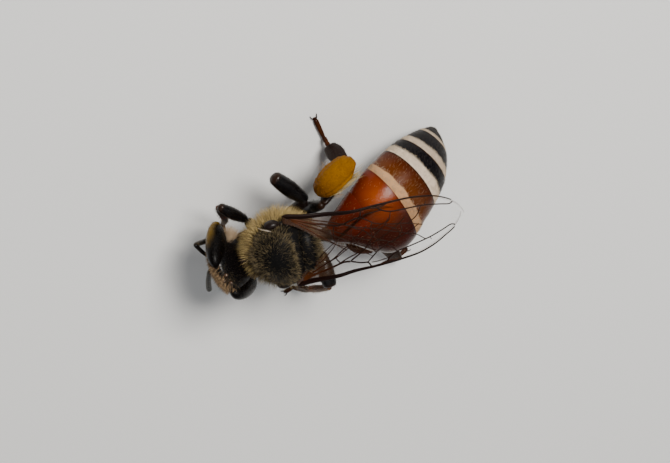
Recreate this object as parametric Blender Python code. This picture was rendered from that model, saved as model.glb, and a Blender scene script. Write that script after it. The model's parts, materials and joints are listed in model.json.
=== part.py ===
"""Red dwarf honey bee, a worker with full pollen baskets, standing still, at life size.

World frame: the floor is z = 0, the head points to -Y, the bee's left is +X and +Z is up.
The trunk (head, thorax, abdomen and wings) is modelled about the middle of the thorax and
then lifted and tipped a little nose-down by one empty. The legs are modelled from the floor
up. Every part is parted from the next by a thin cut. Legs, feelers and wings are kept about
half a millimetre thick.
"""
import math

import bmesh
import bpy
from mathutils import Matrix, Vector

MM = 0.001

# ---- stance -------------------------------------------------------------------------------
TRUNK_HEIGHT = 3.20                    # middle of the thorax above the floor
TRUNK_PITCH = math.radians(5.0)        # nose-down
STANCE_SHIFT = (-0.25, -1.52, 0.0)     # puts the middle of the whole bee over the origin

# ---- cuts and thicknesses -----------------------------------------------------------------
CUT = 0.04                             # width of the cut between two parts
LIMB = 0.48                            # thickness of the thin legs and feelers
BLADE = 0.46                           # thickness of a wing

# ---- thorax -------------------------------------------------------------------------------
THORAX_SIZE = (2.50, 2.58, 2.24)
THORAX_MIDDLE = (0.02, -0.18, 0.0)
SCUTELLUM_SIZE = (1.62, 0.94, 0.84)
SCUTELLUM_MIDDLE = (0.02, 0.66, 0.54)

# ---- head ---------------------------------------------------------------------------------
HEAD_SIZE = (2.34, 1.14, 2.26)
HEAD_MIDDLE = (0.21, -2.03, -0.16)
HEAD_TURN = (math.radians(19.0), 0.0, math.radians(18.0))
EYE_SIZE = (0.76, 0.62, 1.86)
EYE_MIDDLE = (0.96, -0.03, 0.16)
EYE_LEAN = math.radians(-20.0)         # the tops lean in towards the crown

# ---- abdomen: the spine bends down and to the bee's right -----------------------------------
WAIST = (0.03, 1.34, -0.36)
SPINE_LENGTH = 5.76
SPINE_PITCH = (math.radians(-7.7), math.radians(-46.9))
SPINE_YAW = (math.radians(1.4), math.radians(-48.8))
ABDOMEN_WIDTH = 2.80
ABDOMEN_HEIGHT = 2.15
PLATE_ENDS = (1.42, 2.60, 3.65, 4.45, 5.24)   # where plates 1 to 5 end along the spine
SLANT = 0.18                                  # how much later the plates end on the right
PLATE_STEP = 0.03                             # how far a plate's rear edge stands proud
CLEARANCE_SHARES = (0.03, 0.07, 0.12, 0.18, 0.25, 0.33, 0.42, 0.52, 0.62, 0.72)

# ---- wings --------------------------------------------------------------------------------
HINDWING_STRIP = 0.46


# ============================================================================================
# helpers
# ============================================================================================
def clear_scene():
    """Remove whatever the file holds."""
    for item in list(bpy.data.objects):
        bpy.data.objects.remove(item, do_unlink=True)
    for item in list(bpy.data.meshes):
        bpy.data.meshes.remove(item)


def collection(name):
    """A collection linked into the scene."""
    made = bpy.data.collections.new(name)
    bpy.context.scene.collection.children.link(made)
    return made


def material(name, colour, roughness, metallic=0.0):
    """A Principled material."""
    made = bpy.data.materials.new(name)
    made.use_nodes = True
    shader = made.node_tree.nodes["Principled BSDF"]
    shader.inputs["Base Color"].default_value = (*colour, 1.0)
    shader.inputs["Roughness"].default_value = roughness
    shader.inputs["Metallic"].default_value = metallic
    made.diffuse_color = (*colour, 1.0)
    return made


def link(obj, parent, finish, group):
    """Put an object under its empty, in its collection and in its material."""
    group.objects.link(obj)
    obj.parent = parent
    obj.data.materials.append(finish)
    return obj


def smooth(mesh):
    """Shade a mesh smooth, with sharp edges kept at its rims."""
    mesh.shade_smooth()
    mesh.set_sharp_from_angle(angle=math.radians(40.0))


def mm(values):
    """A vector in metres from millimetres."""
    return Vector(values) * MM


def ball(name, size, middle, turn=(0.0, 0.0, 0.0), shape=None, segments=20, rings=12):
    """A sphere stretched to a size; shape moves a point of the unit sphere first."""
    bm = bmesh.new()
    bmesh.ops.create_uvsphere(bm, u_segments=segments, v_segments=rings, radius=1.0)
    for vertex in bm.verts:
        point = shape(vertex.co) if shape else vertex.co
        vertex.co = Vector(c * s * 0.5 * MM for c, s in zip(point, size))
    bmesh.ops.recalc_face_normals(bm, faces=bm.faces)
    mesh = bpy.data.meshes.new(name)
    bm.to_mesh(mesh)
    bm.free()
    smooth(mesh)
    obj = bpy.data.objects.new(name, mesh)
    obj.location = mm(middle)
    obj.rotation_euler = turn
    return obj


def loft(name, rings):
    """A closed body through rings of equal count, with a flat cap on each end."""
    bm = bmesh.new()
    rows = [[bm.verts.new(point * MM) for point in ring] for ring in rings]
    count = len(rows[0])
    for row, following in zip(rows, rows[1:]):
        for i in range(count):
            j = (i + 1) % count
            bm.faces.new((row[i], row[j], following[j], following[i]))
    bm.faces.new(reversed(rows[0]))
    bm.faces.new(rows[-1])
    bmesh.ops.recalc_face_normals(bm, faces=bm.faces)
    mesh = bpy.data.meshes.new(name)
    bm.to_mesh(mesh)
    bm.free()
    smooth(mesh)
    return bpy.data.objects.new(name, mesh)


def facing(direction, side):
    """Rotation whose Z runs along direction and whose Y is as near to side as it can be."""
    z_axis = Vector(direction).normalized()
    y_axis = Vector(side) - z_axis * z_axis.dot(Vector(side))
    y_axis.normalize()
    x_axis = y_axis.cross(z_axis)
    return Matrix((x_axis, y_axis, z_axis)).transposed()


# Radius along a limb as (place from 0 to 1, share of the full radius).
STRAIGHT = ((0.0, 0.70), (0.06, 0.93), (0.22, 1.0), (0.6, 1.0), (0.9, 0.95), (1.0, 0.72))
SPINDLE = ((0.0, 0.62), (0.07, 0.82), (0.28, 1.0), (0.6, 1.0), (0.9, 0.84), (1.0, 0.60))
BASKET = ((0.0, 0.36), (0.06, 0.50), (0.3, 0.70), (0.6, 0.90), (0.88, 1.0), (1.0, 0.80))
PADDLE = ((0.0, 0.66), (0.08, 0.92), (0.3, 1.0), (0.7, 0.96), (0.93, 0.84), (1.0, 0.60))


def limb(name, start, end, width, thickness, profile, side=(0, 0, 1), bow=0.0):
    """A limb between two points, oval across, thin along side, bowed along its width."""
    start = Vector(start)
    axis = Vector(end) - start
    length = axis.length
    curve = bpy.data.curves.new(name, "CURVE")
    curve.dimensions = "3D"
    curve.bevel_depth = 0.5 * width * MM
    curve.bevel_resolution = 2
    curve.use_fill_caps = True
    spline = curve.splines.new("POLY")
    spline.points.add(len(profile) - 1)
    for point, (place, share) in zip(spline.points, profile):
        offset = bow * math.sin(math.pi * place)
        point.co = (offset * MM, 0.0, place * length * MM, 1.0)
        point.radius = share
    obj = bpy.data.objects.new(name, curve)
    obj.location = start * MM
    obj.rotation_euler = facing(axis, side).to_euler()
    obj.scale = (1.0, thickness / width, 1.0)
    return obj


def tube(name, path, widths):
    """A round tube through points, of a width at each of them."""
    curve = bpy.data.curves.new(name, "CURVE")
    curve.dimensions = "3D"
    curve.bevel_depth = 0.5 * MM
    curve.bevel_resolution = 2
    curve.use_fill_caps = True
    spline = curve.splines.new("POLY")
    spline.points.add(len(path) - 1)
    start = Vector(path[0])
    for point, place, width in zip(spline.points, path, widths):
        point.co = (*((Vector(place) - start) * MM), 1.0)
        point.radius = width
    obj = bpy.data.objects.new(name, curve)
    obj.location = start * MM
    return obj


def as_mesh(obj, parent, group, finish):
    """Turn a curve into a closed mesh object that a Boolean can cut."""
    bpy.context.view_layer.update()
    evaluated = obj.evaluated_get(bpy.context.evaluated_depsgraph_get())
    mesh = bpy.data.meshes.new_from_object(evaluated)
    mesh.name = obj.name
    bm = bmesh.new()
    bm.from_mesh(mesh)
    bmesh.ops.remove_doubles(bm, verts=bm.verts, dist=1e-7)
    bmesh.ops.recalc_face_normals(bm, faces=bm.faces)
    bm.to_mesh(mesh)
    bm.free()
    smooth(mesh)
    name = obj.name
    place = obj.matrix_world.copy()
    bpy.data.objects.remove(obj, do_unlink=True)
    made = bpy.data.objects.new(name, mesh)
    group.objects.link(made)
    made.parent = parent
    made.matrix_world = place
    if not mesh.materials:
        mesh.materials.append(finish)
    return made


def hide(obj):
    """Keep a cutter out of the picture and draw it as wires."""
    obj.hide_render = True
    obj.display_type = "WIRE"
    return obj


def cutter(name, source, growth, group):
    """A copy of a body grown by a width all round, used only to cut its neighbours."""
    bpy.context.view_layer.update()
    mesh = source.data.copy()
    mesh.name = name
    half = [max(abs(v.co[i]) for v in mesh.vertices) for i in range(3)]
    for vertex in mesh.vertices:
        grown = (c * (1.0 + growth * MM / h) for c, h in zip(vertex.co, half))
        vertex.co = Vector(grown)
    made = bpy.data.objects.new(name, mesh)
    made.parent = source.parent
    made.location = source.location
    made.rotation_euler = source.rotation_euler
    group.objects.link(made)
    return hide(made)


def boolean(obj, operation, other):
    """Cut or keep a body with another."""
    modifier = obj.modifiers.new(operation.title(), "BOOLEAN")
    modifier.operation = operation
    modifier.solver = "EXACT"
    modifier.object = other
    return modifier


# ============================================================================================
# trunk
# ============================================================================================
def thorax_shape(point):
    """A full, squarish dome that narrows and drops behind the wings."""
    x, y, z = point
    rear = max(0.0, y)
    narrow = 1.0 - 0.30 * rear ** 2
    drop = 1.0 - 0.22 * rear ** 2 if z > 0 else 1.0
    square = 1.0 + 0.36 * (1.0 - y * y) * (x * z) ** 2
    return (x * narrow * square, y, z * drop * square)


def head_shape(point):
    """A rounded triangle from the front, flat behind, with a bulging brow and lip shield."""
    x, y, z = point
    low = max(0.0, -z)
    narrow = 1.0 - 0.34 * low ** 1.6
    depth = 0.72 if y > 0 else 1.0
    return (x * narrow, y * depth, z)


def build_thorax(frame, parts, cutters, black, brown):
    """The dome with the wing roots, the bulging plate behind it and the short neck."""
    thorax = ball("thorax", THORAX_SIZE, THORAX_MIDDLE, shape=thorax_shape, segments=24, rings=14)
    link(thorax, frame, black, parts)
    scutellum = ball("scutellum", SCUTELLUM_SIZE, SCUTELLUM_MIDDLE, segments=16, rings=10)
    link(scutellum, frame, black, parts)
    shield_cutter = cutter("cut_scutellum", scutellum, CUT, cutters)
    boolean(thorax, "DIFFERENCE", shield_cutter)
    neck = limb("neck", (0.06, -1.54, -0.08), (0.0, -1.10, -0.06), 0.70, 0.70, STRAIGHT)
    link(neck, frame, black, parts)
    neck = as_mesh(neck, frame, parts, black)
    envelope = ball("cut_thorax", tuple(s + 2 * CUT for s in THORAX_SIZE), THORAX_MIDDLE,
                    shape=thorax_shape, segments=24, rings=14)
    link(hide(envelope), frame, black, cutters)
    boolean(neck, "DIFFERENCE", envelope)
    for side, name in ((-1, "right"), (1, "left")):
        tegula = ball(f"tegula_{name}", (0.52, 0.62, 0.50), (side * 1.20, -0.38, 0.40),
                      segments=12, rings=8)
        link(tegula, frame, brown, parts)
        boolean(tegula, "DIFFERENCE", envelope)
    return envelope, shield_cutter


def build_head(frame, parts, cutters, black, amber, brown):
    """The head with its eyes, feelers, jaws and folded tongue."""
    head_frame = bpy.data.objects.new("head_frame", None)
    parts.objects.link(head_frame)
    head_frame.parent = frame
    head_frame.location = mm(HEAD_MIDDLE)
    head_frame.rotation_euler = HEAD_TURN
    head = ball("head", HEAD_SIZE, (0, 0, 0), shape=head_shape, segments=24, rings=14)
    link(head, head_frame, black, parts)
    for side, name in ((-1, "right"), (1, "left")):
        x, y, z = EYE_MIDDLE
        eye = ball(f"eye_{name}", EYE_SIZE, (side * x, y, z), turn=(0.0, side * EYE_LEAN, 0.0),
                   segments=14, rings=10)
        link(eye, head_frame, amber, parts)
        boolean(head, "DIFFERENCE", cutter(f"cut_eye_{name}", eye, CUT, cutters))
        jaw = limb(f"mandible_{name}", (side * 0.44, -0.22, -1.18), (side * 0.24, -0.40, -1.64),
                   0.44, 0.40, SPINDLE, side=(0, 1, 0))
        link(jaw, head_frame, brown, parts)
    tongue = tube("proboscis", ((0.0, 0.14, -1.40), (0.0, 0.26, -1.62), (0.0, 0.56, -1.78)),
                  (0.44, 0.48, 0.36))
    link(tongue, head_frame, brown, parts)
    return head


# Feelers: root, elbow and tip in the trunk's own frame.
FEELERS = {
    "right": ((-0.22, -3.00, -0.42), (-0.80, -3.14, -0.16), (-0.36, -2.62, -1.16)),
    "left": ((0.46, -2.94, -0.42), (0.38, -3.02, -0.10), (1.50, -3.03, -0.98)),
}
WHIP_GAP = 0.56
WHIP_BOW = 0.06


def build_feelers(frame, parts, cutters, black):
    """Each feeler is a short shaft and, past the elbow, a longer whip trimmed to clear it."""
    for name, (root, elbow, tip) in FEELERS.items():
        root, elbow, tip = Vector(root), Vector(elbow), Vector(tip)
        shaft = limb(f"antenna_{name}_scape", root, elbow, LIMB, LIMB, STRAIGHT)
        link(shaft, frame, black, parts)
        around = (elbow - root).normalized() * CUT
        guide = limb(f"cut_scape_{name}", root - around, elbow + around, LIMB + 2 * CUT,
                     LIMB + 2 * CUT, STRAIGHT)
        link(guide, frame, black, cutters)
        guide = hide(as_mesh(guide, frame, cutters, black))
        along = (tip - elbow).normalized()
        whip = limb(f"antenna_{name}_flagellum", elbow + along * WHIP_GAP, tip, LIMB, LIMB,
                    STRAIGHT, bow=WHIP_BOW)
        link(whip, frame, black, parts)
        boolean(as_mesh(whip, frame, parts, black), "DIFFERENCE", guide)


# ============================================================================================
# abdomen
# ============================================================================================
def blend(pair, share):
    """Value between the two of a pair."""
    return pair[0] + (pair[1] - pair[0]) * share


def spine(distance, steps=24):
    """Point and direction at a distance along the bent spine, summed from short steps."""
    point = Vector(WAIST)
    step = distance / steps
    direction = Vector((0.0, 1.0, 0.0))
    for i in range(steps + 1):
        share = (i + 0.5) * step / SPINE_LENGTH if i < steps else distance / SPINE_LENGTH
        pitch = blend(SPINE_PITCH, share)
        yaw = blend(SPINE_YAW, share)
        direction = Vector((math.sin(yaw) * math.cos(pitch), math.cos(yaw) * math.cos(pitch),
                            math.sin(pitch)))
        if i < steps:
            point = point + direction * step
    return point, direction


def girth(share):
    """Half width of the abdomen as a share of its greatest, from waist to tip."""
    front = math.sin(0.5 * math.pi * min(1.0, (share + 0.02) / 0.53)) ** 0.63
    rear = 1.0 - max(0.0, (share - 0.28) / 0.74) ** 3.76
    return front * max(0.06, rear)


def slant(distance):
    """Half of how much earlier a plate's edge lies on the left, from behind plate 2 to the tip."""
    growth = min(1.0, max(0.0, (distance - 2.3) / 1.35))
    return SLANT * growth * min(1.0, (SPINE_LENGTH - distance) / 0.5)


def abdomen_ring(distance, proud=0.0, count=20):
    """One slanted oval section across the spine, flatter below than above."""
    ring = []
    for i in range(count):
        angle = 2.0 * math.pi * i / count
        place = distance - slant(distance) * math.cos(angle)
        middle, along = spine(place)
        across = Vector((0, 0, 1)).cross(along).normalized() * -1.0
        upward = along.cross(across) * -1.0
        half_width = 0.5 * ABDOMEN_WIDTH * girth(place / SPINE_LENGTH) + proud
        half_height = 0.5 * ABDOMEN_HEIGHT * girth(place / SPINE_LENGTH) + proud
        lift = math.sin(angle)
        squash = 0.90 if lift < 0 else 1.0
        ring.append(middle + across * (half_width * math.cos(angle))
                    + upward * (half_height * lift * squash))
    return ring


def build_abdomen(frame, parts, cutters, rust, black, envelope):
    """Six telescoped plates behind a narrow waist; returns a cutter that clears them."""
    ends = (0.0, *PLATE_ENDS, SPINE_LENGTH)
    for number, (start, end) in enumerate(zip(ends, ends[1:]), start=1):
        first = start + (0.12 if number == 1 else 0.5 * CUT)
        last = end - 0.5 * CUT
        shares = (0.0, 0.12, 0.3, 0.55, 0.8, 1.0) if number in (1, 6) else (0.0, 0.35, 0.7, 1.0)
        rings = [abdomen_ring(first + (last - first) * s,
                              proud=PLATE_STEP * s if number < 6 else 0.0) for s in shares]
        plate = loft(f"abdomen_t{number}", rings)
        link(plate, frame, rust if number < 4 else black, parts)
    middle, along = spine(0.10)
    petiole = limb("petiole", middle - along * 0.62, middle - along * 0.02, 0.66, 0.66, STRAIGHT)
    link(petiole, frame, black, parts)
    petiole = as_mesh(petiole, frame, parts, black)
    boolean(petiole, "DIFFERENCE", envelope)
    rings = [abdomen_ring(SPINE_LENGTH * s, proud=PLATE_STEP + CUT) for s in CLEARANCE_SHARES]
    return link(hide(loft("cut_abdomen", rings)), frame, black, cutters)


# ============================================================================================
# wings
# ============================================================================================
def forewing_edge(share):
    """Front and rear edge of the forewing, as offsets across its span in millimetres."""
    lead = 0.06 * math.sin(math.pi * share) - 0.70 * max(0.0, (share - 0.78) / 0.22) ** 2.2
    fan = min(1.0, share / 0.60) ** 1.3
    trail = -(0.30 + 1.80 * math.sin(0.5 * math.pi * fan))
    trail += 0.98 * max(0.0, (share - 0.56) / 0.44) ** 2.0
    return lead, trail


def blade_ring(root, span, across, place, near, far, lift):
    """One flat section of a wing, from its near edge to its far edge."""
    up = across.cross(span).normalized()
    up = up if up.z > 0 else -up
    half = 0.5 * BLADE
    soft = min(0.45 * half, 0.2 * abs(far - near))
    centre = root + span * place + up * lift
    low, high = min(near, far), max(near, far)
    outline = ((low, -half + soft), (low + soft, -half), (high - soft, -half), (high, -half + soft),
               (high, half - soft), (high - soft, half), (low + soft, half), (low, half - soft))
    return [centre + across * a + up * b for a, b in outline]


# Root and tip of each wing's span, and its height at shares of the span.
WINGS = {
    "right": {"root": (-1.36, 0.02), "tip": (-0.92, 6.14),
              "heights": ((0.0, 0.40), (0.20, 0.46), (0.42, 0.72), (1.0, 0.50))},
    "left": {"root": (1.24, 0.02), "tip": (0.24, 6.16),
             "heights": ((0.0, 0.44), (0.29, 1.08), (0.46, 1.22), (1.0, 1.00))},
}
WING_SHARES = (0.0, 0.05, 0.12, 0.20, 0.30, 0.42, 0.55, 0.64, 0.70, 0.78, 0.86, 0.93, 0.98, 1.0)
STRIP_SHARES = (0.12, 0.70)
STRIP_LEAST = 0.10


def strip_width(share):
    """Width of the hindwing's strip at a share of the span, none outside its own stretch."""
    start, end = STRIP_SHARES
    if not start <= share <= end:
        return 0.0
    swell = math.sin(math.pi * (share - start) / (end - start)) ** 0.7
    return CUT + STRIP_LEAST + (HINDWING_STRIP - STRIP_LEAST) * swell


def wing_height(heights, share):
    """Height at a share of the span, eased between the given ones."""
    for (a, low), (b, high) in zip(heights, heights[1:]):
        if share <= b:
            ease = 0.5 - 0.5 * math.cos(math.pi * (share - a) / (b - a))
            return low + (high - low) * ease
    return heights[-1][1]


def build_wings(frame, parts, smoke, keep_clear):
    """Folded wings: the left pair lies over the right one, hindwings along the inner edge."""
    for name, wing in WINGS.items():
        side = -1.0 if name == "right" else 1.0
        root, tip = Vector((*wing["root"], 0.0)), Vector((*wing["tip"], 0.0))
        span = (tip - root).normalized()
        length = (tip - root).length
        across = Vector((span.y, -span.x, 0.0)) * side
        fore_rings, hind_rings = [], []
        for share in WING_SHARES:
            lead, trail = forewing_edge(share)
            height = wing_height(wing["heights"], share)
            strip = strip_width(share)
            fore_rings.append(blade_ring(root, span, across, share * length, lead,
                                         trail + strip, height))
            if strip:
                hind_rings.append(blade_ring(root, span, across, share * length,
                                             trail + strip - CUT, trail, height))
        for kind, rings in (("forewing", fore_rings), ("hindwing", hind_rings)):
            wing_solid = loft(f"{kind}_{name}", rings)
            link(wing_solid, frame, smoke, parts)
            for other in keep_clear:
                boolean(wing_solid, "DIFFERENCE", other)


# ============================================================================================
# legs
# ============================================================================================
# Joints of each leg in the world frame: hip, thigh, knee, ankle, heel, and two along the toes.
LEGS = {
    "fore_right": ((-0.38, -0.82, 2.30), (-0.92, -1.12, 2.22), (-1.95, -1.98, 2.76), (-0.93, -1.80, 1.68),
                   (-0.33, -1.80, 0.82), (-0.02, -1.84, 0.36), (0.30, -1.86, 0.19)),
    "fore_left": ((0.38, -0.82, 2.30), (0.80, -1.04, 1.92), (1.48, -1.54, 1.98), (1.40, -1.90, 1.12),
                  (1.36, -2.06, 0.56), (1.38, -2.20, 0.28), (1.40, -2.42, 0.19)),
    "mid_right": ((-0.56, 0.10, 2.20), (-1.32, 0.90, 2.50), (-2.54, 0.14, 2.92), (-1.20, 0.76, 1.70),
                  (-0.72, 0.97, 0.76), (-0.56, 1.02, 0.34), (-0.34, 1.06, 0.19)),
    "mid_left": ((0.66, 0.02, 2.20), (1.04, 1.14, 2.16), (2.24, 1.18, 2.70), (2.88, 0.56, 1.22),
                 (3.11, 0.20, 0.48), (3.20, 0.06, 0.26), (3.32, -0.18, 0.19)),
    "hind_right": ((-0.28, 0.86, 2.24), (-0.46, 0.90, 1.52), (-1.22, 1.54, 2.98), (-1.92, 2.64, 1.69),
                   (-2.04, 2.38, 0.50), (-2.30, 2.30, 0.26), (-2.96, 2.16, 0.19)),
    "hind_left": ((0.28, 0.92, 2.24), (0.38, 0.78, 1.52), (0.84, 1.66, 1.80), (1.78, 3.28, 0.96),
                  (2.74, 3.64, 0.50), (2.84, 3.84, 0.26), (2.76, 4.10, 0.19)),
}
JOINTS = ("coxa", "femur", "tibia", "basitarsus")

# Where a leg is folded shut, its shin starts this far under the knee.
SHIN_DROPS = {"fore_right": (0.16, -0.06, -0.36), "mid_right": (0.14, 0.0, -0.46)}

# Width of each joint of the fore, mid and hind legs; none is thicker than THICKEST.
LEG_WIDTHS = {
    "fore": {"coxa": 0.56, "femur": 0.50, "tibia": 0.48, "basitarsus": 0.46},
    "mid": {"coxa": 0.56, "femur": 0.54, "tibia": 0.50, "basitarsus": 0.48},
    "hind": {"coxa": 0.56, "femur": 0.56, "tibia": 0.92, "basitarsus": 0.66},
}
THICKEST = 0.52
NEAR_BELLY = (("hind_right", "tibia"), ("hind_left", "tibia"))
MOST_GAP = 0.26
PROFILES = {"coxa": STRAIGHT, "femur": SPINDLE, "tibia": STRAIGHT, "basitarsus": PADDLE}


def joint_gap(before, joint, after):
    """How far a limb stops short of a bent joint, so that two round ends just clear."""
    bend = 0.5 * (before - joint).angle(after - joint)
    return min(MOST_GAP, 0.5 * LIMB * (1.0 / math.sin(bend) - 1.0)) + 0.5 * CUT


def leg_ends(leg):
    """Start and end of each of the four upper parts of a leg, and the path of its toes."""
    points = [Vector(p) for p in LEGS[leg]]
    drop = Vector(SHIN_DROPS.get(leg, (0.0, 0.0, 0.0)))
    ends = {}
    for i, joint in enumerate(JOINTS):
        start, end = points[i], points[i + 1]
        along = (end - start).normalized()
        before = joint_gap(points[i - 1], start, end) if i else 0.0
        after = joint_gap(start, end, points[i + 2])
        ends[joint] = (start + along * before, end - along * after)
    if leg in SHIN_DROPS:
        ends["tibia"] = (points[2] + drop, ends["tibia"][1])
    heel, middle, toe = points[4:]
    along = (middle - heel).normalized()
    ends["tarsus"] = (heel + along * joint_gap(points[3], heel, middle), middle, toe)
    return ends


def floor_cutter(group, stance, finish):
    """A slab under z = 0 that leaves each foot a small flat."""
    bm = bmesh.new()
    bmesh.ops.create_cube(bm, size=1.0)
    mesh = bpy.data.meshes.new("cut_floor")
    bm.to_mesh(mesh)
    bm.free()
    slab = bpy.data.objects.new("cut_floor", mesh)
    slab.scale = mm((20.0, 20.0, 2.0))
    slab.location = mm((0.0, 0.0, -1.0))
    return link(hide(slab), stance, finish, group)


def foot_path(joints):
    """Points and widths of the four small toe joints, slightly beaded, down to the floor."""
    knots = [Vector(j) for j in joints]
    path = [knots[0], knots[0].lerp(knots[1], 0.5), knots[1], knots[1].lerp(knots[2], 0.33),
            knots[1].lerp(knots[2], 0.66), knots[2]]
    widths = (LIMB * 0.78, LIMB, LIMB * 0.92, LIMB, LIMB * 0.94, LIMB * 0.90)
    return path, widths


def leg_part(leg, joint, growth=0.0, prefix="leg"):
    """One part of a leg above the toes; growth swells it all round, for a cutter."""
    pair, side_name = leg.split("_")
    start, end = leg_ends(leg)[joint]
    along = (end - start).normalized() * growth
    side = (-1.0 if side_name == "right" else 1.0, 0.0, 0.35)
    width = LEG_WIDTHS[pair][joint]
    profile = BASKET if (pair, joint) == ("hind", "tibia") else PROFILES[joint]
    return limb(f"{prefix}_{leg}_{joint}", start - along, end + along, width + 2 * growth,
                min(width, THICKEST) + 2 * growth, profile, side)


def guide_part(leg, joint, stance, cutters, finish):
    """A swollen copy of a leg's part that trims its neighbours."""
    guide = leg_part(leg, joint, growth=CUT, prefix="cut")
    link(guide, stance, finish, cutters)
    return hide(as_mesh(guide, stance, cutters, finish))


def build_legs(stance, parts, cutters, black, brown, envelope, belly):
    """Six legs of five parts each; hips clear the thorax, hind shins the belly, feet the floor."""
    floor = floor_cutter(cutters, stance, black)
    for leg in LEGS:
        before = None
        for joint in (*JOINTS, "tarsus"):
            finish = brown if joint in ("basitarsus", "tarsus") else black
            if joint == "tarsus":
                piece = tube(f"leg_{leg}_tarsus", *foot_path(leg_ends(leg)["tarsus"]))
            else:
                piece = leg_part(leg, joint)
            link(piece, stance, finish, parts)
            trims = [envelope] if joint == "coxa" else [floor] if joint == "tarsus" else []
            if (leg, joint) in NEAR_BELLY:
                trims.append(belly)
            if before:
                trims.append(guide_part(leg, before, stance, cutters, finish))
            piece = as_mesh(piece, stance, parts, finish)
            for trim in trims:
                boolean(piece, "DIFFERENCE", trim)
            before = joint


# Middle and turn of the packed load on each hind shin.
POLLEN_SIZE = (0.94, 1.94, 1.04)
POLLEN = {"right": ((-1.92, 2.16, 2.73), (math.radians(-33.3), 0.0, math.radians(17.3))),
          "left": ((1.56, 2.30, 1.52), (math.radians(-26.0), 0.0, math.radians(-30.0)))}


def build_pollen(stance, parts, cutters, ochre, belly):
    """A packed load on the outer face of each hind shin."""
    for name, (middle, turn) in POLLEN.items():
        load = ball(f"pollen_{name}", POLLEN_SIZE, middle, turn=turn, segments=14, rings=8)
        link(load, stance, ochre, parts)
        guide = guide_part(f"hind_{name}", "tibia", stance, cutters, ochre)
        boolean(load, "DIFFERENCE", guide)
        boolean(load, "DIFFERENCE", belly)


def main():
    """Build the whole bee."""
    clear_scene()
    parts = collection("honey_bee")
    cutters = collection("cutters")
    stance = bpy.data.objects.new("stance", None)
    stance.location = mm(STANCE_SHIFT)
    parts.objects.link(stance)
    frame = bpy.data.objects.new("trunk_frame", None)
    frame.parent = stance
    frame.location = mm((0.0, 0.0, TRUNK_HEIGHT))
    frame.rotation_euler = (TRUNK_PITCH, 0.0, 0.0)
    parts.objects.link(frame)

    black = material("black_cuticle", (0.015, 0.012, 0.012), 0.30)
    brown = material("brown_cuticle", (0.12, 0.045, 0.02), 0.38)
    rust = material("rust_cuticle", (0.42, 0.10, 0.02), 0.26)
    amber = material("eye_surface", (0.05, 0.022, 0.012), 0.25)
    smoke = material("wing_membrane", (0.40, 0.32, 0.24), 0.30)
    ochre = material("pollen_load", (0.62, 0.32, 0.05), 0.80)

    envelope, shield_cutter = build_thorax(frame, parts, cutters, black, brown)
    build_head(frame, parts, cutters, black, amber, brown)
    build_feelers(frame, parts, cutters, black)
    belly = build_abdomen(frame, parts, cutters, rust, black, envelope)
    build_wings(frame, parts, smoke, (envelope, shield_cutter))
    build_legs(stance, parts, cutters, black, brown, envelope, belly)
    build_pollen(stance, parts, cutters, ochre, belly)


main()
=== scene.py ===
import json
import logging
import math
from dataclasses import dataclass
from enum import Enum
from typing import Callable, Sequence

import bpy
import numpy as np
from mathutils import Matrix, Vector

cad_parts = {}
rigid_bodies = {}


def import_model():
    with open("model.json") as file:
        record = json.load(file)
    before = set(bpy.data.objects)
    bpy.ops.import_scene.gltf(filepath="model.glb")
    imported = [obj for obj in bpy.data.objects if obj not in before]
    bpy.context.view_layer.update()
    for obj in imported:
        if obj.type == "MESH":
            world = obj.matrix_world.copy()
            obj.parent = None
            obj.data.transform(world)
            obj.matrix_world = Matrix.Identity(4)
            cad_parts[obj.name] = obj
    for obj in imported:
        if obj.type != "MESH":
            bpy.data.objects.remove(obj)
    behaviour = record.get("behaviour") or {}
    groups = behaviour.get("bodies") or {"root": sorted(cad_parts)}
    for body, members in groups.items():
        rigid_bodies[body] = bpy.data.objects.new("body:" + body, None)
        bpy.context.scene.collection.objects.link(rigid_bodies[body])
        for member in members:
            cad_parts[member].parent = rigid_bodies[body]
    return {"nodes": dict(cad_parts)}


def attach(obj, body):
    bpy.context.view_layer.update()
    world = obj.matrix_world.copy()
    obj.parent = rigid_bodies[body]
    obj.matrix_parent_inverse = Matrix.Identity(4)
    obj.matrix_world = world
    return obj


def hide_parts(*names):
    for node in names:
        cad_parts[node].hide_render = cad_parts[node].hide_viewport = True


LOG = logging.getLogger("honey_bee")
MM = 0.001
UP = np.array([0.0, 0.0, 1.0])

# ---- stance: the same driving sizes as the solids, in millimetres ----
STANCE_SHIFT = np.array([-0.25, -1.52, 0.0])
TRUNK_HEIGHT = 3.20
TRUNK_PITCH = math.radians(5.0)

# ---- short names for types ----
Array = np.ndarray
Object = bpy.types.Object
Material = bpy.types.Material
Marks = dict[str, Array]
Point = tuple[float, float, float]
Colour = tuple[float, float, float]
Line = tuple[tuple[float, float], ...]


# ---- numbers and curves ----
def smoothstep(low: float, high: float, value: Array) -> Array:
    """Ease from 0 at low to 1 at high.

    Args:
        low: Where the ease starts.
        high: Where it ends; it may be below low, which turns the ease round.
        value: Numbers to ease.
    Returns:
        3t^2 - 2t^3 of the share t of the way from low to high.
    """
    t = np.clip((value - low) / (high - low), 0.0, 1.0)
    return t * t * (3.0 - 2.0 * t)


def hump(centre: float, width: float, value: Array) -> Array:
    """A bell of height 1 round a centre: e to the minus squared distance over squared width."""
    return np.exp(-((value - centre) / width) ** 2)


def unit(vectors: Array) -> Array:
    """Vectors brought to length 1 along their last axis."""
    return vectors / np.maximum(np.linalg.norm(vectors, axis=-1, keepdims=True), 1e-12)


def even(count: int) -> Array:
    """Shares from 0 to 1 in even steps."""
    return np.linspace(0.0, 1.0, count)


def ring_angles(count: int) -> Array:
    """Angles of even steps round a full turn."""
    return np.linspace(0.0, 2.0 * math.pi, count, endpoint=False)


def halves(half: Array, flatness: float = 1.0) -> Array:
    """Half widths with half thicknesses that are a fixed share of them."""
    return np.stack([half, half * flatness], -1)


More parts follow.
